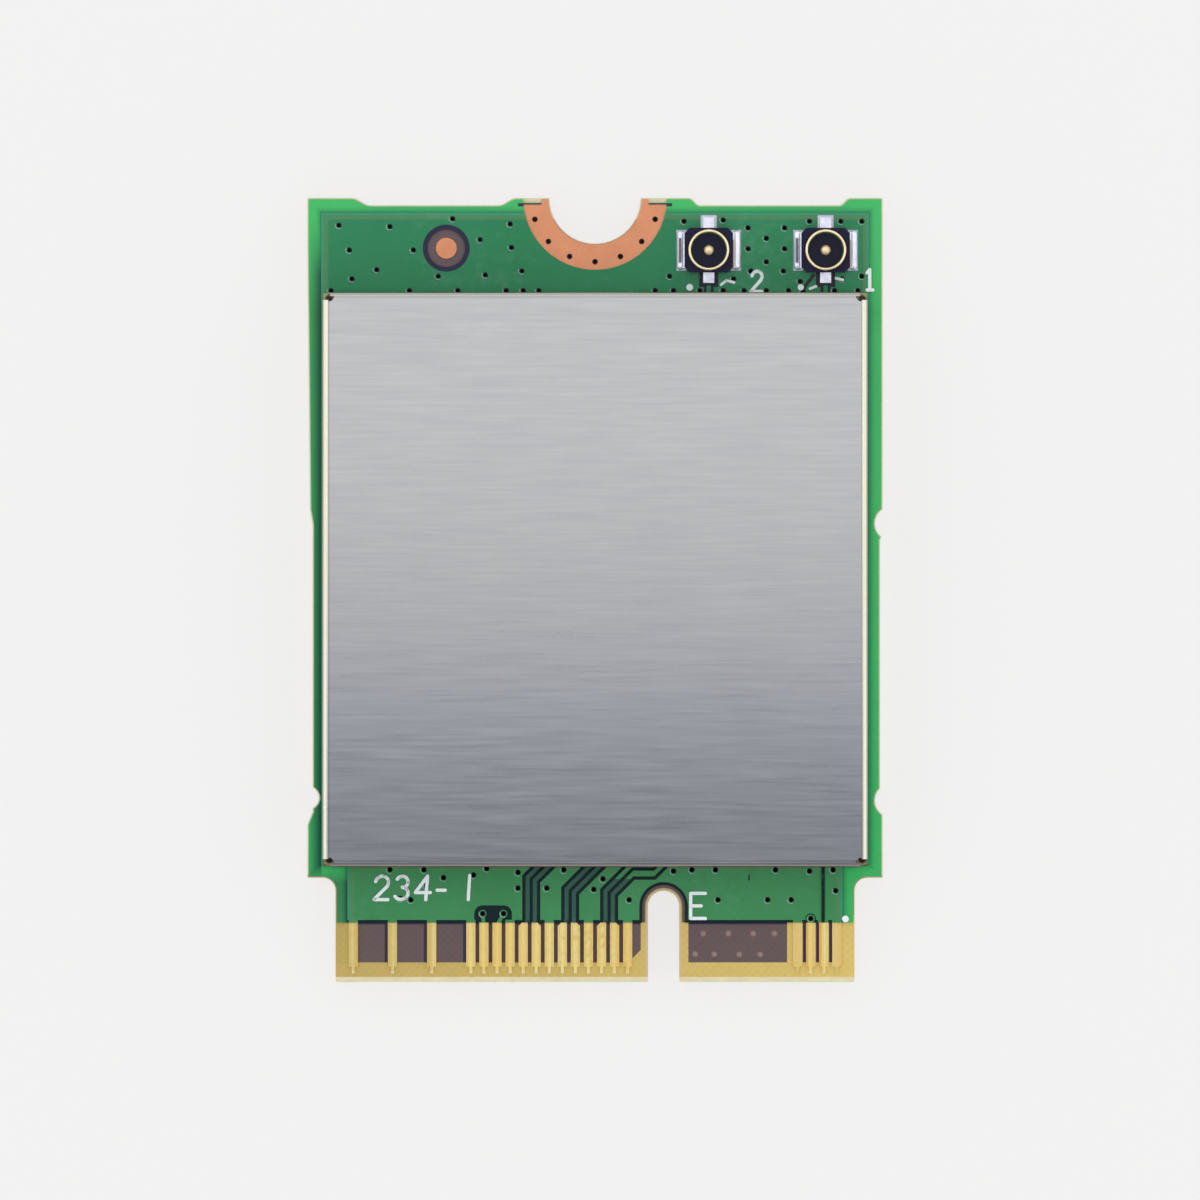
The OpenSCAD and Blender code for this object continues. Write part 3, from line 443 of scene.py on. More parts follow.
def traceMasks(tree, x, y):
    # Dark lines beside the traces, and the traces themselves, from the offset to each pair's middle line
    look = maskLook
    lines, runs = [], []
    for bendX, bendY, reach in look["traces"]:
        u = calc(tree, "SUBTRACT", x, bendX)
        v = calc(tree, "SUBTRACT", y, bendY)
        diagonal = calc(tree, "MULTIPLY", calc(tree, "SUBTRACT", u, v), math.sqrt(0.5))
        offset = calc(tree, "ABSOLUTE", calc(tree, "MINIMUM", u, diagonal))
        fromLine = calc(tree, "MINIMUM", offset,
                        calc(tree, "ABSOLUTE", calc(tree, "SUBTRACT", offset, look["traceStep"])))
        inReach = allOf(tree, [calc(tree, "LESS_THAN", v, reach),
                               calc(tree, "GREATER_THAN", y, card["maskEdge"])])
        lines.append(allOf(tree, [between(tree, fromLine, -1, look["traceLine"], 0.03), inReach]))
        runs.append(allOf(tree, [calc(tree, "LESS_THAN", offset, look["traceStep"]), inReach]))
    return anyOf(tree, lines), anyOf(tree, runs)


def makeMask(side):
    look = maskLook
    material, tree, shader = newFinish(side + "MaskFinish", 0.34, specular=0.22)
    spot, x, y, z = placeInMm(tree)
    middle = sum(look["faces"][side]) / 2
    over = calc(tree, "GREATER_THAN" if side == "top" else "LESS_THAN", z, middle)
    grain = useGroup(tree, "grain", Grain_per_mm=14.0, Patches_per_mm=0.45)
    handling = useGroup(tree, "handling", Specks_per_mm=2.4, Amount=0.2)
    # Bare board: a painted shadow of the pour's edge close to the pour, darkest on the left, and a duller
    # green left of the tongue
    out = pourDistance(tree, x, y)
    slope = calc(tree, "SUBTRACT", 1.0, above(tree, out, 0.0, look["slopeWidth"]))
    slopeLeft = calc(tree, "SUBTRACT", 1.0, above(tree, out, 0.0, look["slopeWidthLeft"]))
    onLeft = allOf(tree, [calc(tree, "LESS_THAN", x, look["leftBorder"]), slopeLeft,
                          below(tree, y, *look["leftShade"])])
    plain = blend(tree, noiseAt(tree, spot, 0.2, 1.0), look["plainBoard"], look["plainBoardDark"])
    # Painted light lifts the bare board beside the lid
    lidLight = between(tree, y, *look["litBesideLid"], 1.0)
    plain = scaled(tree, plain, spread(tree, lidLight, 0.93, 1.1))
    beside = allOf(tree, [calc(tree, "LESS_THAN", x, look["tongueSide"]), below(tree, y, *look["shoulder"])])
    plain = blend(tree, beside, plain, look["tongueLeft"])
    steep = calc(tree, "MULTIPLY", slope, slope)
    deep = anyOf(tree, [onLeft, allOf(tree, [steep, beside]), calc(tree, "MULTIPLY", steep, 0.62)])
    # Painted shadow along the pour's edge
    plain = blend(tree, deep, plain, look["pourEdgeShadow"])
    plain = blend(tree, calc(tree, "LESS_THAN", out, -0.004), plain, look["etched"])
    target = calc(tree, "LESS_THAN", awayFrom(tree, x, y, card["fiducial"]), card["fiducialWindow"])
    plain = blend(tree, target, plain, look["fiducialRim"])
    # Over copper: patchy, with a teal crest along the pour's edge and a brownish band inside it
    patches = noiseAt(tree, spot, 0.35, 3.0)
    copper = blend(tree, patches, look["overCopper"], look["overCopperLight"])
    lower = blend(tree, patches, look["lowerCopper"], look["lowerCopperLight"])
    copper = blend(tree, below(tree, y, *look["lowerTone"]), copper, lower)
    band = between(tree, out, *look["pourBand"], 0.08)
    copper = blend(tree, calc(tree, "MULTIPLY", band, 0.5), copper, look["pourEdge"])
    crest = calc(tree, "MULTIPLY", above(tree, out, look["crestFrom"], 0.05), 0.7)
    copper = blend(tree, crest, copper, look["pourCrest"])
    base = blend(tree, over, plain, copper)
    if side == "top":
        at, half = look["innerLine"]
        line = between(tree, x, at - half, at + half, 0.03)
        line = allOf(tree, [line, over, calc(tree, "LESS_THAN", out, -0.1)])
        line = calc(tree, "MULTIPLY", line, 0.35)
        at, gapHalf, half = look["single"]
        nearSingle = calc(tree, "LESS_THAN", y, look["singleTop"])
        gap = allOf(tree, [between(tree, x, at - gapHalf, at + gapHalf), nearSingle])
        base = blend(tree, gap, base, copper)
        single = allOf(tree, [between(tree, x, at - half, at + half, 0.03), nearSingle])
        nickX, nickY, nickWide, nickHigh = look["nick"]
        nick = allOf(tree, [between(tree, x, nickX - nickWide, nickX + nickWide, 0.02),
                            between(tree, y, nickY - nickHigh, nickY + nickHigh, 0.04)])
        dark, runs = traceMasks(tree, x, y)
        base = blend(tree, calc(tree, "MULTIPLY", runs, look["traceShadeShare"]), base, look["traceShade"])
        base = blend(tree, anyOf(tree, [line, single, nick, dark]), base, look["etched"])
        wide = calc(tree, "ABSOLUTE", x)
        bars = allOf(tree, [calc(tree, "LESS_THAN", wide, card["notchPad"] + 0.2),
                            between(tree, y, *look["barsPlace"], 0.03)])
        base = blend(tree, bars, base, look["bars"])
    scuffed = calc(tree, "MULTIPLY", handling.outputs["Mask"], over)
    base = blend(tree, scuffed, base, look["scuffs"])
    tone = spread(tree, grain.outputs["Tone"], 0.88, 1.12)
    feed(tree, shader.inputs["Base Color"], scaled(tree, base, tone))
    feed(tree, shader.inputs["Roughness"], spread(tree, grain.outputs["Tone"], 0.3, 0.46))
    raiseBump(tree, shader, grain.outputs["Height"], 0.12, 0.00001)
    return material


# Shield sheet: brushed along the card's width, rolled smooth over its bends, which carry painted reflections
shieldLook = {
    "lid": srgb(161, 161, 161),
    "lidLow": srgb(145, 145, 146),
    # Painted reflections on the lid's bends: pale at the sides, greyer at the upper end, darker at the lower
    # end
    "sideBendReflection": srgb(210, 205, 184),
    "topBendReflection": srgb(150, 149, 137),
    "endBendReflection": srgb(123, 114, 109),
    "frame": srgb(160, 160, 158),
    "frameLow": srgb(140, 140, 138),
    # Painted shade line just inside the lid's bends, and the lid face's box that it follows
    "bendShadeLine": srgb(120, 112, 104),
    "lidFaceBox": ((0.02, 0.42), (10.17, 10.75)),
    "linesPerMm": 8.0,
    "lineLength": 3.1,
    # The lid's painted cool reflection sets in below this y, over this stretch
    "coolReflectionPlace": (0.5, 5.0),
    "coolReflectionTint": (1.03, 1.04, 1.09, 1),
    # Greys the reflection at grazing angles only
    "grazingTint": (0.5, 0.5, 0.5, 1),
}


def makeBrushed(name, light, dark, roughness, lines, length, bump, bends=False):
    material, tree, shader = newFinish(name, roughness, metallic=1.0)
    shader.inputs["Specular Tint"].default_value = shieldLook["grazingTint"]
    brushed = useGroup(tree, "lines", Lines_per_mm=lines, Length_mm=length)
    handling = useGroup(tree, "handling", Specks_per_mm=1.6, Amount=0.12)
    tone = brushed.outputs["Tone"]
    base = blend(tree, spread(tree, tone, -0.4, 1.4), dark, light)
    base = blend(tree, handling.outputs["Mask"], base, dark)
    rough = spread(tree, tone, roughness - 0.07, roughness + 0.07)
    height = brushed.outputs["Height"]
    if bends:
        nx, ny, nz = facing(tree)
        bend = between(tree, nz, 0.12, 0.985, 0.01)
        # The bends take painted reflections in place of the brushed colour
        ends = blend(tree, calc(tree, "GREATER_THAN", ny, 0.0), shieldLook["endBendReflection"], shieldLook["topBendReflection"])
        sideways = calc(tree, "GREATER_THAN", calc(tree, "ABSOLUTE", nx), calc(tree, "ABSOLUTE", ny))
        base = blend(tree, bend, base, blend(tree, sideways, ends, shieldLook["sideBendReflection"]))
        height = calc(tree, "MULTIPLY", height, calc(tree, "SUBTRACT", 1.0, bend))
        # A faint painted shade line just inside the bends
        _, x, y, _ = placeInMm(tree)
        centre, half = shieldLook["lidFaceBox"]
        inset = [calc(tree, "SUBTRACT", calc(tree, "ABSOLUTE", calc(tree, "SUBTRACT", v, c)), h)
                 for v, c, h in zip((x, y), centre, half)]
        line = between(tree, calc(tree, "MAXIMUM", *inset), -0.04, 0.04, 0.03)
        line = allOf(tree, [line, calc(tree, "GREATER_THAN", nz, 0.985)])
        base = blend(tree, calc(tree, "MULTIPLY", line, 0.5), base, shieldLook["bendShadeLine"])
        # Painted reflection: the lid is a touch cooler towards the contacts
        cooler = blend(tree, below(tree, y, *shieldLook["coolReflectionPlace"]), (1, 1, 1, 1), shieldLook["coolReflectionTint"])
        base = addNode(tree, "ShaderNodeVectorMath", {0: base, 1: cooler}, operation="MULTIPLY").outputs[0]
    feed(tree, shader.inputs["Base Color"], base)
    feed(tree, shader.inputs["Roughness"], rough)
    raiseBump(tree, shader, height, bump, 0.000006)
    return material


# Plated and bare metals
metalLook = {
    "contact": srgb(254, 236, 154),
    "contactWarm": srgb(248, 214, 118),
    "contactShade": srgb(224, 184, 98),
    "paleContact": srgb(234, 200, 120),
    "palePins": (1, 7),
    "warmEdge": srgb(232, 164, 66),
    "warmPins": (5, 3),
    "warmWidth": 0.1,
    "tailEnd": srgb(242, 220, 172),
    "tailPlace": (-14.73, -14.56),
    "paleTail": srgb(226, 198, 114),
    "tailTop": -14.42,
    # Fingers left of the first place are less bright
    "dimLeft": (-6.2, 0.85),
    "nearJack": 1.6,
    "ringRadius": 0.84,
    "postRadius": 0.45,
    "padAcross": 0.85,
    # The brown edge on the right foot: across, then how far below and above the jack's middle
    "brownEdge": (0.84, 0.975, 0.75, 0.42),
    # Painted dark reflection in the left bead: across, then how far below and above the jack's middle
    "darkReflection": (-1.17, -1.02, 0.52, 0.5),
    "barePad": srgb(214, 140, 97),
    "barePadDull": srgb(194, 122, 82),
    "barrel": srgb(58, 44, 36),
    "barrelDark": srgb(26, 20, 18),
    "tinned": srgb(222, 224, 232),
    "tinnedShade": srgb(150, 148, 170),
    # Painted shade: the foil under the shield is dark brown, as the gaps at the lid's corners show it
    "darkened": srgb(46, 30, 24),
    # The painted dark pales to tan away from a spot at each of the shield's corners
    "cornerSpot": (10.2, 10.73),
    "cornerFade": (0.11, 0.07),
    "cornerPale": srgb(180, 162, 106),
    # Painted shade round the jacks' feet, on bare board and foil
    "jackRingShade": srgb(18, 18, 34),
    "jackGold": srgb(252, 238, 204),
    "jackGoldShade": srgb(206, 174, 114),
    "solder": srgb(240, 242, 250),
    "solderDull": srgb(190, 192, 206),
    # Painted dark reflection in the left bead's core
    "solderDarkReflection": srgb(44, 38, 62),
    "solderEdge": srgb(150, 118, 84),
}


def makeContactGold():
    look = metalLook
    material, tree, shader = newFinish("contactGold", 0.4, metallic=0.35)
    spot, x, y, _ = placeInMm(tree)
    # Painted sheen lightens the middle of each finger, and the plating is palest at the end of its tail
    ridge = calc(tree, "ABSOLUTE", calc(tree, "COSINE", calc(tree, "MULTIPLY", x, math.tau / card["pitch"])))
    grain = noiseAt(tree, spot, 6.0, 3.0, stretch=(4, 0.6, 1))
    handling = useGroup(tree, "handling", Specks_per_mm=5.0, Amount=0.5)
    tone = calc(tree, "ADD", calc(tree, "MULTIPLY", grain, 0.7), calc(tree, "MULTIPLY", ridge, 0.45))
    number = calc(tree, "FLOOR", calc(tree, "ADD", calc(tree, "DIVIDE", x, card["pitch"]), 0.5))
    vary = addNode(tree, "ShaderNodeTexWhiteNoise", {"W": number}, noise_dimensions="1D")
    light = blend(tree, vary.outputs["Value"], look["contact"], look["contactWarm"])
    base = blend(tree, tone, look["contactShade"], light)
    place, share = look["dimLeft"]
    base = scaled(tree, base, spread(tree, calc(tree, "LESS_THAN", x, place), 1.0, share))
    pale = anyOf(tree, [between(tree, x, pinPlace(pin) - 0.2, pinPlace(pin) + 0.2)
                        for pin in look["palePins"]])
    base = blend(tree, calc(tree, "MULTIPLY", pale, 0.8), base, look["paleContact"])
    warm = []
    for pin in look["warmPins"]:
        edge = pinPlace(pin) - card["fingerHalf"]
        warm.append(between(tree, x, edge - 0.02, edge + look["warmWidth"], 0.04))
    base = blend(tree, calc(tree, "MULTIPLY", anyOf(tree, warm), 0.7), base, look["warmEdge"])
    base = blend(tree, handling.outputs["Mask"], base, look["contactShade"])
    tail = between(tree, y, *look["tailPlace"], 0.04)
    base = blend(tree, calc(tree, "MULTIPLY", tail, 0.8), base, look["tailEnd"])
    # The pale fingers' tails hardly show on the board
    paleTail = allOf(tree, [pale, calc(tree, "LESS_THAN", y, look["tailTop"])])
    base = blend(tree, paleTail, base, look["paleTail"])
    feed(tree, shader.inputs["Base Color"], base)
    feed(tree, shader.inputs["Roughness"], spread(tree, grain, 0.3, 0.5))
    raiseBump(tree, shader, grain, 0.2, 0.00001)
    return material


def nearJacks(tree, x, y):
    # Distance from the nearer jack's centre, and the place across it from that centre
    first, second = (awayFrom(tree, x, y, (place, card["jackY"])) for place in card["jackX"])
    middle = sum(card["jackX"]) / 2
    onRight = calc(tree, "GREATER_THAN", x, middle)
    across = calc(tree, "SUBTRACT", x, spread(tree, onRight, card["jackX"][1], card["jackX"][0]))
    return calc(tree, "MINIMUM", first, second), across


def footBrownEdge(tree, across, y):
    # Brown along the inner edge of each jack's right foot
    low, high, under, over = metalLook["brownEdge"]
    short = between(tree, y, card["jackY"] - under, card["jackY"] + over, 0.04)
    return allOf(tree, [between(tree, across, low, high, 0.02), short])


def makeFoil():
    # Foil that the mask leaves bare: tinned under the jacks' feet, painted dark brown at the shield as shade
    # for the gaps at the lid's corners, and painted dark round the jacks as shade beside the feet
    look = metalLook
    material, tree, shader = newFinish("bareFoil", 0.45, metallic=0.4)
    _, x, y, _ = placeInMm(tree)
    grain = useGroup(tree, "grain", Grain_per_mm=12.0, Patches_per_mm=1.5)
    tinned = blend(tree, grain.outputs["Tone"], look["tinnedShade"], look["tinned"])
    # Dark brown at the shield: painted shade for the gaps at the lid's corners
    darkened = scaled(tree, look["darkened"][:3], spread(tree, grain.outputs["Tone"], 0.7, 1.3))
    far, across = nearJacks(tree, x, y)
    outside = anyOf(tree, [calc(tree, "GREATER_THAN", calc(tree, "ABSOLUTE", across), look["padAcross"]),
                           calc(tree, "GREATER_THAN", y, card["jackY"])])
    sideways, along = (calc(tree, "ABSOLUTE", calc(tree, "SUBTRACT", value, middle))
                       for value, middle in zip((x, y), shieldLook["lidFaceBox"][0]))
    outwards = awayFrom(tree, sideways, along, look["cornerSpot"])
    darkened = blend(tree, above(tree, outwards, *look["cornerFade"]), darkened, look["cornerPale"])
    near = calc(tree, "LESS_THAN", far, look["nearJack"])
    # Round the jacks the bare foil is painted dark, as shade beside the feet
    darkened = blend(tree, near, darkened, look["jackRingShade"])
    close = allOf(tree, [near, outside])
    feed(tree, shader.inputs["Base Color"], blend(tree, close, darkened, tinned))
    raiseBump(tree, shader, grain.outputs["Height"], 0.3, 0.00001)
    return material


def makeJackMetal(name, metallic, goldWithin, roughest, darkened=False):
    # Thin gold near the jack's middle, tin on the feet further out
    look = metalLook
    material, tree, shader = newFinish(name, 0.3, metallic=metallic)
    spot, x, y, _ = placeInMm(tree)
    grain = useGroup(tree, "grain", Grain_per_mm=12.0, Patches_per_mm=1.4)
    gold = blend(tree, grain.outputs["Tone"], look["jackGoldShade"], look["jackGold"])
    tinned = blend(tree, noiseAt(tree, spot, 3.0, 2.0), look["tinnedShade"], look["solder"])
    far, across = nearJacks(tree, x, y)
    if darkened:
        tinned = blend(tree, footBrownEdge(tree, across, y), tinned, look["solderEdge"])
    onGold = calc(tree, "LESS_THAN", far, goldWithin)
    feed(tree, shader.inputs["Base Color"], blend(tree, onGold, tinned, gold))
    feed(tree, shader.inputs["Roughness"], spread(tree, grain.outputs["Tone"], roughest - 0.2, roughest))
    raiseBump(tree, shader, grain.outputs["Height"], 0.25, 0.00001)
    return material


def makeSolder():
    # Bright beads; the left one of each jack has a painted dark reflection in its core, the right one a
    # brown edge
    look = metalLook
    material, tree, shader = newFinish("brightSolder", 0.3, metallic=0.5)
    _, x, y, _ = placeInMm(tree)
    grain = useGroup(tree, "grain", Grain_per_mm=7.0, Patches_per_mm=1.6)
    base = blend(tree, spread(tree, grain.outputs["Tone"], -0.3, 1.3), look["solderDull"], look["solder"])
    across = nearJacks(tree, x, y)[1]
    low, high, under, over = look["darkReflection"]
    short = between(tree, y, card["jackY"] - under, card["jackY"] + over, 0.06)
    darkReflection = allOf(tree, [between(tree, across, low, high, 0.03), short])
    # Painted dark reflection down the left bead's core
    base = blend(tree, calc(tree, "MULTIPLY", darkReflection, 0.9), base, look["solderDarkReflection"])
    base = blend(tree, footBrownEdge(tree, across, y), base, look["solderEdge"])
    feed(tree, shader.inputs["Base Color"], base)
    feed(tree, shader.inputs["Roughness"], spread(tree, grain.outputs["Tone"], 0.2, 0.42))
    raiseBump(tree, shader, grain.outputs["Height"], 0.3, 0.000012)
    return material


def makeMetal(name, light, dull, roughness, metallic, grains, amount):
    # Metal with cloudy dull patches and fine pitting
    material, tree, shader = newFinish(name, roughness, metallic=metallic)
    grain = useGroup(tree, "grain", Grain_per_mm=grains, Patches_per_mm=1.2)
    handling = useGroup(tree, "handling", Specks_per_mm=4.0, Amount=amount)
    base = blend(tree, spread(tree, grain.outputs["Tone"], -0.6, 1.4), dull, light)
    base = blend(tree, handling.outputs["Mask"], base, dull)
    feed(tree, shader.inputs["Base Color"], base)
    rough = spread(tree, grain.outputs["Tone"], roughness - 0.1, roughness + 0.14)
    feed(tree, shader.inputs["Roughness"], rough)
    raiseBump(tree, shader, grain.outputs["Height"], 0.3, 0.000012)
    return material


def makeMoulded(name, light, dark, roughness, specular, grains, hasLeads):
    # Moulded or fired body with even grain
    material, tree, shader = newFinish(name, roughness, specular=specular)
    grain = useGroup(tree, "grain", Grain_per_mm=grains, Patches_per_mm=0.9)
    base = blend(tree, grain.outputs["Tone"], dark, light)
    if hasLeads:
        # Leads and the feet of end caps are the part's lowest faces
        z = placeInMm(tree)[3]
        low = calc(tree, "LESS_THAN", z, leads["below"])
        base = blend(tree, low, base, leads["colour"])
        feed(tree, shader.inputs["Metallic"], calc(tree, "MULTIPLY", low, 0.9))
    feed(tree, shader.inputs["Base Color"], base)
    rough = spread(tree, grain.outputs["Tone"], roughness - 0.08, roughness + 0.12)
    feed(tree, shader.inputs["Roughness"], rough)
    raiseBump(tree, shader, grain.outputs["Height"], 0.35, 0.00001)
    return material


# Light and dark tone, roughness, shine, grain per mm, and whether the body has metal leads
bodyLook = {
    "jackMoulding": (srgb(22, 20, 60), srgb(5, 5, 34), 0.36, 0.14, 16.0, False),
    "packageBlack": (srgb(44, 44, 47), srgb(30, 30, 33), 0.62, 0.4, 22.0, True),
    "ceramicWhite": (srgb(226, 222, 212), srgb(200, 196, 186), 0.5, 0.5, 14.0, True),
    "ceramicTan": (srgb(170, 132, 94), srgb(138, 102, 70), 0.45, 0.5, 14.0, True),
    "ferriteGrey": (srgb(92, 92, 96), srgb(68, 68, 72), 0.7, 0.3, 18.0, True),
    "markingInk": (srgb(254, 255, 254), srgb(240, 246, 240), 0.6, 0.3, 24.0, False),
}
leads = {"below": 1.0, "colour": srgb(190, 190, 192)}
finishes = {
    "laminate": makeLaminate(),
    "maskTop": makeMask("top"),
    "maskBottom": makeMask("bottom"),
    "gold": makeContactGold(),
    "foil": makeFoil(),
    "copper": makeMetal("bareCopper", metalLook["barePad"], metalLook["barePadDull"],
                        roughness=0.42, metallic=0.3, grains=16.0, amount=0.5),
    "barrel": makeMetal("barrelCopper", metalLook["barrel"], metalLook["barrelDark"],
                        roughness=0.5, metallic=0.8, grains=16.0, amount=0.3),
    "lid": makeBrushed("lidSheet", shieldLook["lid"], shieldLook["lidLow"], roughness=0.29,
                       lines=shieldLook["linesPerMm"], length=shieldLook["lineLength"],
                       bump=0.125, bends=True),
    "frame": makeBrushed("frameSheet", shieldLook["frame"], shieldLook["frameLow"],
                         roughness=0.4, lines=7.0, length=2.0, bump=0.3),
    "jackShell": makeJackMetal("jackShell", metallic=0.6, goldWithin=metalLook["ringRadius"],
                               roughest=0.42, darkened=True),
    "jackPin": makeJackMetal("jackPin", metallic=0.5, goldWithin=metalLook["postRadius"], roughest=0.4),
    "solder": makeSolder(),
}
for name in bodyLook:
    finishes[name] = makeMoulded(name, *bodyLook[name])
print("finishes made:", len(finishes))

finishOfNode = {
    "circuit_board": "laminate",
    "copper_layer_top": "foil",
    "copper_layer_bottom": "copper",
    "solder_mask_top": "maskTop",
    "solder_mask_bottom": "maskBottom",
    "edge_contacts_top": "gold",
    "edge_contacts_bottom": "gold",
    "mounting_pad_top": "copper",
    "mounting_pad_bottom": "copper",
    "plated_vias": "barrel",
    "fiducial_mark": "copper",
    "shield_frame": "frame",
    "shield_lid": "lid",
    "antenna_jack_1_base": "jackMoulding",
    "antenna_jack_1_shell": "jackShell",
    "antenna_jack_1_pin": "jackPin",
    "antenna_jack_2_base": "jackMoulding",
    "antenna_jack_2_shell": "jackShell",
    "antenna_jack_2_pin": "jackPin",
    "jack_solder": "solder",
    "wireless_chip": "packageBlack",
    "front_end_modules": "packageBlack",
    "antenna_filters": "ceramicWhite",
    "reference_crystal": "ceramicWhite",
    "voltage_regulator": "packageBlack",
    "power_inductors": "ferriteGrey",
    "matching_inductors": "ceramicWhite",
    "ceramic_capacitors": "ceramicTan",
    "chip_resistors": "packageBlack",
}
for name, node in nodes.items():
    finish = finishes[finishOfNode[name]]
    for slot in node.material_slots:
        slot.material = finish
    if not node.material_slots:
        node.data.materials.append(finish)
print("finishes laid on the card's parts")


def addPiece(name, mesh):
    piece = bpy.data.objects.new(name, mesh)
    bpy.context.scene.collection.objects.link(piece)
    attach(piece, "root")
    return piece


# Mask collars: the mask stands up in a low ridge, drawn only on the lower left of each via where the
# highlight falls, and is painted paler there as a highlight
collarLook = {
    # Lengths in mm, then the arc's straight pieces, and where it starts and how far it turns in degrees
    "radius": 0.13,
    "width": 0.062,
    "rise": 0.006,
    "sides": 9,
    "from": 150,
    "sweep": 150,
    # Painted highlight on the collars
    "collarHighlight": srgb(86, 146, 112),
    "collarHighlightBright": srgb(130, 178, 150),
}


def islandCentres(node):
    # Centre of each separate body in a CAD node's mesh
    work = bmesh.new()
    work.from_mesh(node.data)
    bmesh.ops.remove_doubles(work, verts=work.verts, dist=1e-7)
    centres, seen = [], set()
    for start in work.verts:
        if start.index in seen:
            continue
        stack, found = [start], []
        seen.add(start.index)
        while stack:
            vert = stack.pop()
            found.append(vert.co.copy())
            for edge in vert.link_edges:
                other = edge.other_vert(vert)
                if other.index not in seen:
                    seen.add(other.index)
                    stack.append(other)
        low = Vector([min(p[k] for p in found) for k in range(3)])
        high = Vector([max(p[k] for p in found) for k in range(3)])
        centres.append((low + high) / 2)
    work.free()
    return centres


def makeCollarTree():
    # Each point carries a ridge: a flat profile swept along an arc
    tree = bpy.data.node_groups.new("maskCollars", "GeometryNodeTree")
    face = tree.interface
    face.new_socket("Geometry", in_out="INPUT", socket_type="NodeSocketGeometry")
    for label, value in (("Ridge radius", 0.00013), ("Ridge width", 0.00006), ("Rise", 0.00001),
                         ("Start angle", 2.2), ("Sweep angle", 3.5)):
        face.new_socket(label, in_out="INPUT", socket_type="NodeSocketFloat").default_value = value
    face.new_socket("Sides", in_out="INPUT", socket_type="NodeSocketInt").default_value = 9
    face.new_socket("Finish", in_out="INPUT", socket_type="NodeSocketMaterial")
    face.new_socket("Geometry", in_out="OUTPUT", socket_type="NodeSocketGeometry")
    given = addNode(tree, "NodeGroupInput")
    out = addNode(tree, "NodeGroupOutput")
    path = addNode(tree, "GeometryNodeCurveArc", {
        "Resolution": given.outputs["Sides"],
        "Radius": given.outputs["Ridge radius"],
        "Start Angle": given.outputs["Start angle"],
        "Sweep Angle": given.outputs["Sweep angle"],
    }, mode="RADIUS")
    profile = addNode(tree, "GeometryNodeCurvePrimitiveCircle", {
        "Resolution": 4,
        "Radius": 1.0,
    }, mode="RADIUS")
    halfWidth = calc(tree, "MULTIPLY", given.outputs["Ridge width"], 0.5)
    size = addNode(tree, "ShaderNodeCombineXYZ", {0: halfWidth, 1: given.outputs["Rise"], 2: 1.0})
    squash = addNode(tree, "GeometryNodeTransform", {
        "Geometry": profile.outputs["Curve"],
        "Scale": size.outputs[0],
    })
    sweep = addNode(tree, "GeometryNodeCurveToMesh", {
        "Curve": path.outputs["Curve"],
        "Profile Curve": squash.outputs["Geometry"],
        "Fill Caps": True,
    })
    placed = addNode(tree, "GeometryNodeInstanceOnPoints", {
        "Points": given.outputs["Geometry"],
        "Instance": sweep.outputs["Mesh"],
    })
    real = addNode(tree, "GeometryNodeRealizeInstances", {"Geometry": placed.outputs["Instances"]})
    smooth = addNode(tree, "GeometryNodeSetShadeSmooth", {"Geometry": real.outputs["Geometry"]})
    paint = addNode(tree, "GeometryNodeSetMaterial", {
        "Geometry": smooth.outputs["Geometry"],
        "Material": given.outputs["Finish"],
    })
    feed(tree, out.inputs["Geometry"], paint.outputs["Geometry"])
    return tree


def socketId(tree, label):
    for item in tree.interface.items_tree:
        if item.in_out == "INPUT" and item.name == label:
            return item.identifier


def grow(name, points, tree, values):
    # A mesh of bare points, put through a geometry tree and made plain
    seedMesh = bpy.data.meshes.new(name + "Points")
    seedMesh.from_pydata(points, [], [])
    holder = bpy.data.objects.new(name + "Holder", seedMesh)
    bpy.context.scene.collection.objects.link(holder)
    modifier = holder.modifiers.new("grow", "NODES")
    modifier.node_group = tree
    for label, value in values.items():
        modifier[socketId(tree, label)] = value
    shown = holder.evaluated_get(bpy.context.evaluated_depsgraph_get())
    mesh = bpy.data.meshes.new_from_object(shown)
    mesh.name = name
    holder.modifiers.clear()
    bpy.data.objects.remove(holder)
    return mesh


def makeCollarHighlight():
    # The collars' paler colour is a painted highlight
    material, tree, shader = newFinish("collarHighlightFinish", 0.3, specular=0.5)
    grain = useGroup(tree, "grain", Grain_per_mm=12.0, Patches_per_mm=2.0)
    base = blend(tree, grain.outputs["Tone"], collarLook["collarHighlight"], collarLook["collarHighlightBright"])
    feed(tree, shader.inputs["Base Color"], base)
    raiseBump(tree, shader, grain.outputs["Height"], 0.2, 0.000008)
    return material


def addCollars():
    look = collarLook
    places = []
    for centre in islandCentres(nodes["plated_vias"]):
        x, y = centre.x / mm, centre.y / mm
        inPad = math.hypot(x, y - card["length"] / 2) < card["notchPad"]
        if not inPad:
            places.append((x * mm, y * mm, card["maskTop"] * mm))
    tree = makeCollarTree()
    mesh = grow("via_collars", places, tree, {
        "Ridge radius": look["radius"] * mm,
        "Ridge width": look["width"] * mm,
        "Rise": look["rise"] * mm,
        "Start angle": math.radians(look["from"]),
        "Sweep angle": math.radians(look["sweep"]),
        "Sides": look["sides"],
        "Finish": makeCollarHighlight(),
    })
    addPiece("via_collars", mesh)
    print("mask collars:", len(places))


addCollars()


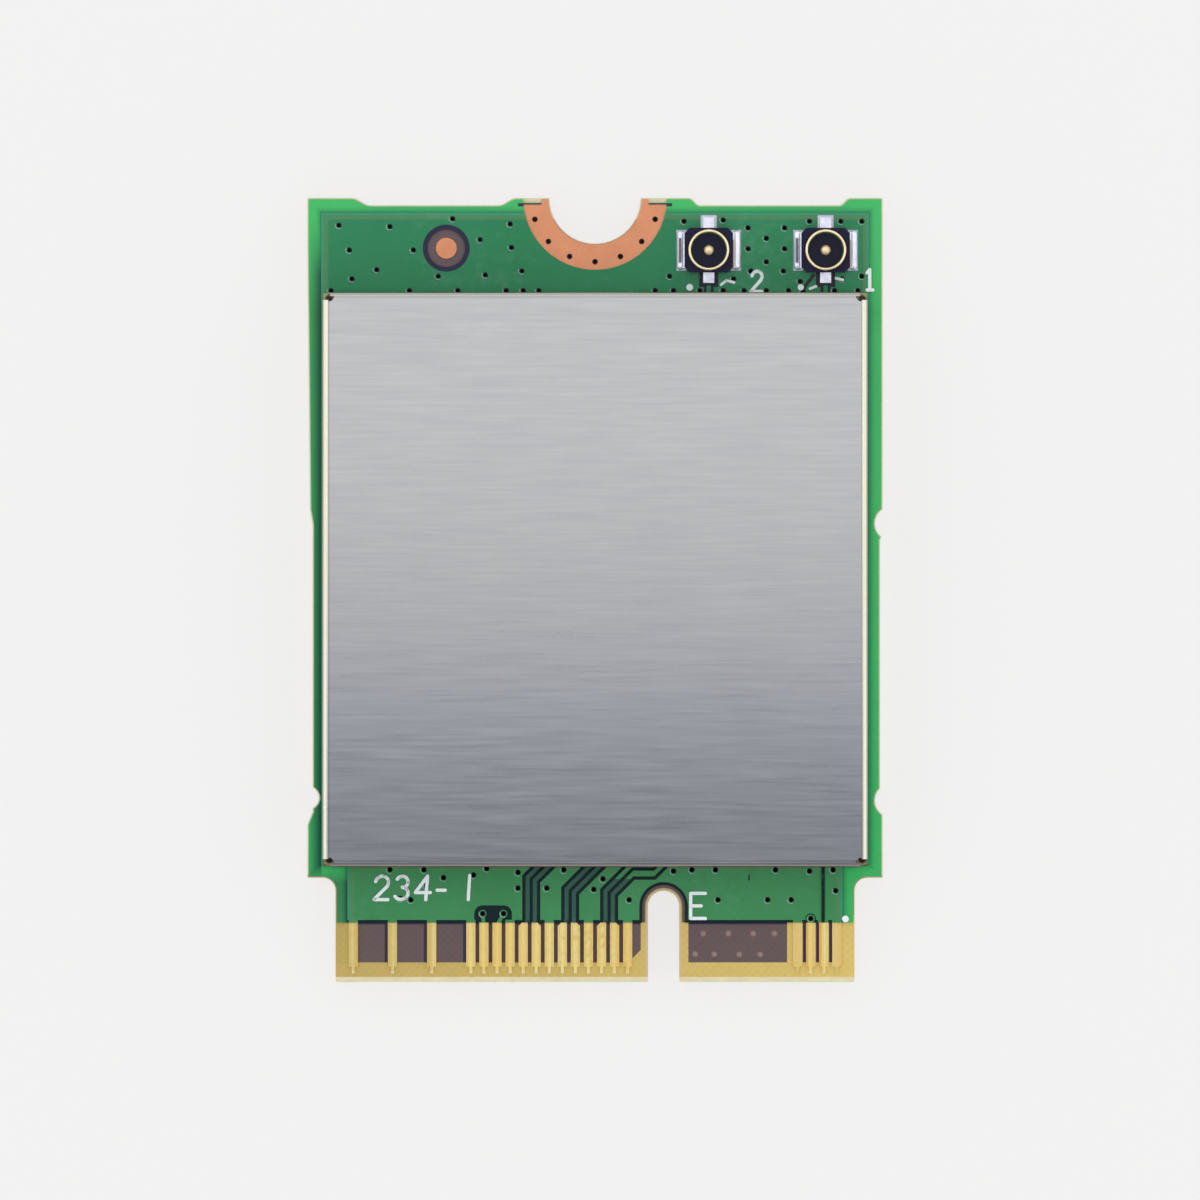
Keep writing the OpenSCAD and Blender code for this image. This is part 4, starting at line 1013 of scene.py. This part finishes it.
# Printed marks: figures and signs drawn by strokes of even width, as a board printer lays them
printLook = {
    "stroke": 0.125,
    "thickness": 0.012,
    "roundSides": 8,
    "marks": (
        # signs, left edge and foot in mm, height, width of one sign, gap, slant
        ("234-", (-8.5, -11.84), 0.9, 0.6, 0.19, 0.08),
        ("|", (-5.0, -11.84), 0.92, 0.3, 0, 0.06),
        ("2", (5.93, 11.42), 0.78, 0.46, 0, 0.06),
        ("1", (10.38, 11.48), 0.78, 0.26, 0, 0.0),
        ("E", (3.66, -12.56), 0.96, 0.56, 0, 0.0),
    ),
    # Dots with their radius, and short dashes by their two ends
    "dots": ((3.62, 11.58, 0.13), (7.87, 11.58, 0.12), (9.58, -12.58, 0.13)),
    "dashes": (((4.82, 11.68), (5.02, 11.84)), ((5.02, 11.84), (5.32, 11.77)),
               ((8.22, 11.53), (8.45, 11.62)), ((9.22, 11.93), (9.48, 11.87))),
}


def arc(cx, cy, r, start, end, steps=8, stretch=1.0):
    found = []
    for i in range(steps + 1):
        a = math.radians(start + (end - start) * i / steps)
        found.append((cx + r * math.cos(a), cy + r * stretch * math.sin(a)))
    return found


# Strokes of each sign in a cell 1 wide and 1 high
signs = {
    "1": [[(0.1, 0.84), (0.5, 1.0), (0.5, 0.0)], [(0.1, 0.0), (0.95, 0.0)]],
    "|": [[(0.5, 0.0), (0.5, 1.0)]],
    "2": [arc(0.5, 0.72, 0.42, 170, -35, 9, 0.66) + [(0.06, 0.0), (0.96, 0.0)]],
    "3": [arc(0.46, 0.745, 0.38, 150, -80, 9, 0.66) + arc(0.46, 0.27, 0.44, 85, -150, 9, 0.6)],
    "4": [[(0.74, 0.0), (0.74, 1.0), (0.04, 0.3), (1.0, 0.3)]],
    "-": [[(0.1, 0.4), (0.62, 0.4)]],
    "E": [[(1.0, 1.0), (0.0, 1.0), (0.0, 0.0), (1.0, 0.0)], [(0.0, 0.5), (0.72, 0.5)]],
}


def stampStroke(work, a, b, width, level, thickness, sides):
    # One straight stroke with round ends, as a low closed slab
    along = Vector((b[0] - a[0], b[1] - a[1]))
    turn = math.atan2(along.y, along.x) if along.length else 0.0
    outline = []
    for (cx, cy), start in ((b, -90), (a, 90)):
        for i in range(sides + 1):
            angle = turn + math.radians(start + 180 * i / sides)
            outline.append((cx + width / 2 * math.cos(angle), cy + width / 2 * math.sin(angle)))
    low = [work.verts.new((x * mm, y * mm, level * mm)) for x, y in outline]
    high = [work.verts.new((x * mm, y * mm, (level + thickness) * mm)) for x, y in outline]
    work.faces.new(high)
    work.faces.new(list(reversed(low)))
    for i in range(len(low)):
        j = (i + 1) % len(low)
        work.faces.new((low[i], low[j], high[j], high[i]))


def addMarks():
    look = printLook
    work = bmesh.new()
    strokes = []
    for text, (left, foot), tall, wide, gap, slant in look["marks"]:
        for number, sign in enumerate(text):
            x0 = left + number * (wide + gap)
            for line in signs[sign]:
                placed = [(x0 + u * wide + slant * v * tall, foot + v * tall) for u, v in line]
                strokes.extend((p, q, look["stroke"]) for p, q in zip(placed, placed[1:]))
    strokes.extend((p, q, look["stroke"] * 0.8) for p, q in look["dashes"])
    for x, y, r in look["dots"]:
        strokes.append(((x, y), (x, y), 2 * r))
    for number, (p, q, width) in enumerate(strokes):
        # Each stroke lies a hair higher than the last, so that crossings don't share a face
        thickness = look["thickness"] + 0.00004 * number
        stampStroke(work, p, q, width, card["maskTop"], thickness, look["roundSides"])
    mesh = bpy.data.meshes.new("printed_marks")
    work.to_mesh(mesh)
    work.free()
    mesh.materials.append(finishes["markingInk"])
    addPiece("printed_marks", mesh)
    print("printed strokes:", len(strokes))


addMarks()


# Studio: pale floor, surroundings that darken overhead, a near panel that only gloss shows
studio = {
    # Lengths in metres, power in watts
    "floorSize": 3.0,
    "floorDrop": 0.00002,
    "backdrop": srgb(243, 243, 243),
    "floorPaper": srgb(250, 245, 238),
    "floorOwnLight": 0.8,
    "horizonLight": 1.58,
    "zenithLight": 0.38,
    "dimsFrom": 0.45,
    "dimsTo": 0.97,
    "overheadTint": (0.86, 0.92, 1.02, 1),
    "panelHeight": 0.06,
    "panelLow": -0.0042,
    "panelDepth": 0.06,
    "panelWidth": 0.12,
    "panelPower": 0.032,
    "cameraWidth": 0.046,
    "cameraDistance": 0.42,
    "cameraAim": (0.00019, -0.00038),
}


def seenDirectly(tree):
    # 1 for rays that show a surface as it is: to the camera, off gloss and through glass
    rays = addNode(tree, "ShaderNodeLightPath")
    return anyOf(tree, [rays.outputs["Is Camera Ray"], rays.outputs["Is Glossy Ray"],
                        rays.outputs["Is Transmission Ray"]])


def addFloor():
    half = studio["floorSize"] / 2
    mesh = bpy.data.meshes.new("floor")
    corners = [(-half, -half, 0), (half, -half, 0), (half, half, 0), (-half, half, 0)]
    mesh.from_pydata(corners, [], [(0, 1, 2, 3)])
    floor = bpy.data.objects.new("floor", mesh)
    bpy.context.scene.collection.objects.link(floor)
    floor.location.z = -studio["floorDrop"]
    material, tree, shader = newFinish("floorPaper", 0.8, specular=0.1)
    shader.inputs["Base Color"].default_value = studio["floorPaper"]
    glow = addNode(tree, "ShaderNodeEmission", {"Color": studio["backdrop"]})
    # The floor doesn't glow where it shows through the plated holes of the notch pad
    _, x, y, _ = placeInMm(tree)
    fromNotch = awayFrom(tree, x, y, (0, card["length"] / 2))
    underPad = allOf(tree, [between(tree, fromNotch, card["notchRadius"] + 0.2, card["notchPad"]),
                            calc(tree, "LESS_THAN", y, card["length"] / 2 - 0.1)])
    lit = allOf(tree, [seenDirectly(tree), calc(tree, "SUBTRACT", 1.0, underPad)])
    share = calc(tree, "MULTIPLY", lit, studio["floorOwnLight"])
    mix = addNode(tree, "ShaderNodeMixShader", {0: share, 1: shader.outputs[0], 2: glow.outputs[0]})
    out = next(n for n in tree.nodes if n.type == "OUTPUT_MATERIAL")
    feed(tree, out.inputs["Surface"], mix.outputs[0])
    mesh.materials.append(material)


def addSurroundings():
    world = bpy.data.worlds.new("surroundings")
    bpy.context.scene.world = world
    world.use_nodes = True
    tree = world.node_tree
    upwards = partsOf(tree, addNode(tree, "ShaderNodeTexCoord").outputs["Generated"])[2]
    height = calc(tree, "ABSOLUTE", upwards)
    ramp = addNode(tree, "ShaderNodeMapRange", {
        "Value": height,
        "From Min": studio["dimsFrom"],
        "From Max": studio["dimsTo"],
        "To Min": studio["horizonLight"],
        "To Max": studio["zenithLight"],
    }, interpolation_type="SMOOTHSTEP")
    tint = blend(tree, height, (1, 1, 1, 1), studio["overheadTint"])
    light = scaled(tree, tint, ramp.outputs[0])
    rays = addNode(tree, "ShaderNodeLightPath")
    colour = blend(tree, rays.outputs["Is Camera Ray"], light, studio["backdrop"])
    feed(tree, tree.nodes["Background"].inputs["Color"], colour)


def addPanel():
    lamp = bpy.data.lights.new("nearPanel", "AREA")
    lamp.shape = "RECTANGLE"
    lamp.size = studio["panelWidth"]
    lamp.size_y = studio["panelDepth"]
    lamp.energy = studio["panelPower"]
    panel = bpy.data.objects.new("nearPanel", lamp)
    bpy.context.scene.collection.objects.link(panel)
    panel.location = (0, studio["panelLow"] + studio["panelDepth"] / 2, studio["panelHeight"])
    panel.visible_camera = False
    panel.visible_diffuse = False


def addCamera():
    lens = bpy.data.cameras.new("camera")
    lens.lens = lens.sensor_width * studio["cameraDistance"] / studio["cameraWidth"]
    lens.clip_start = 0.01
    lens.clip_end = 10
    camera = bpy.data.objects.new("camera", lens)
    bpy.context.scene.collection.objects.link(camera)
    x, y = studio["cameraAim"]
    camera.location = (x, y, studio["cameraDistance"])
    bpy.context.scene.camera = camera


addFloor()
addSurroundings()
addPanel()
addCamera()
bpy.context.scene.view_settings.view_transform = "Standard"
print("studio set")
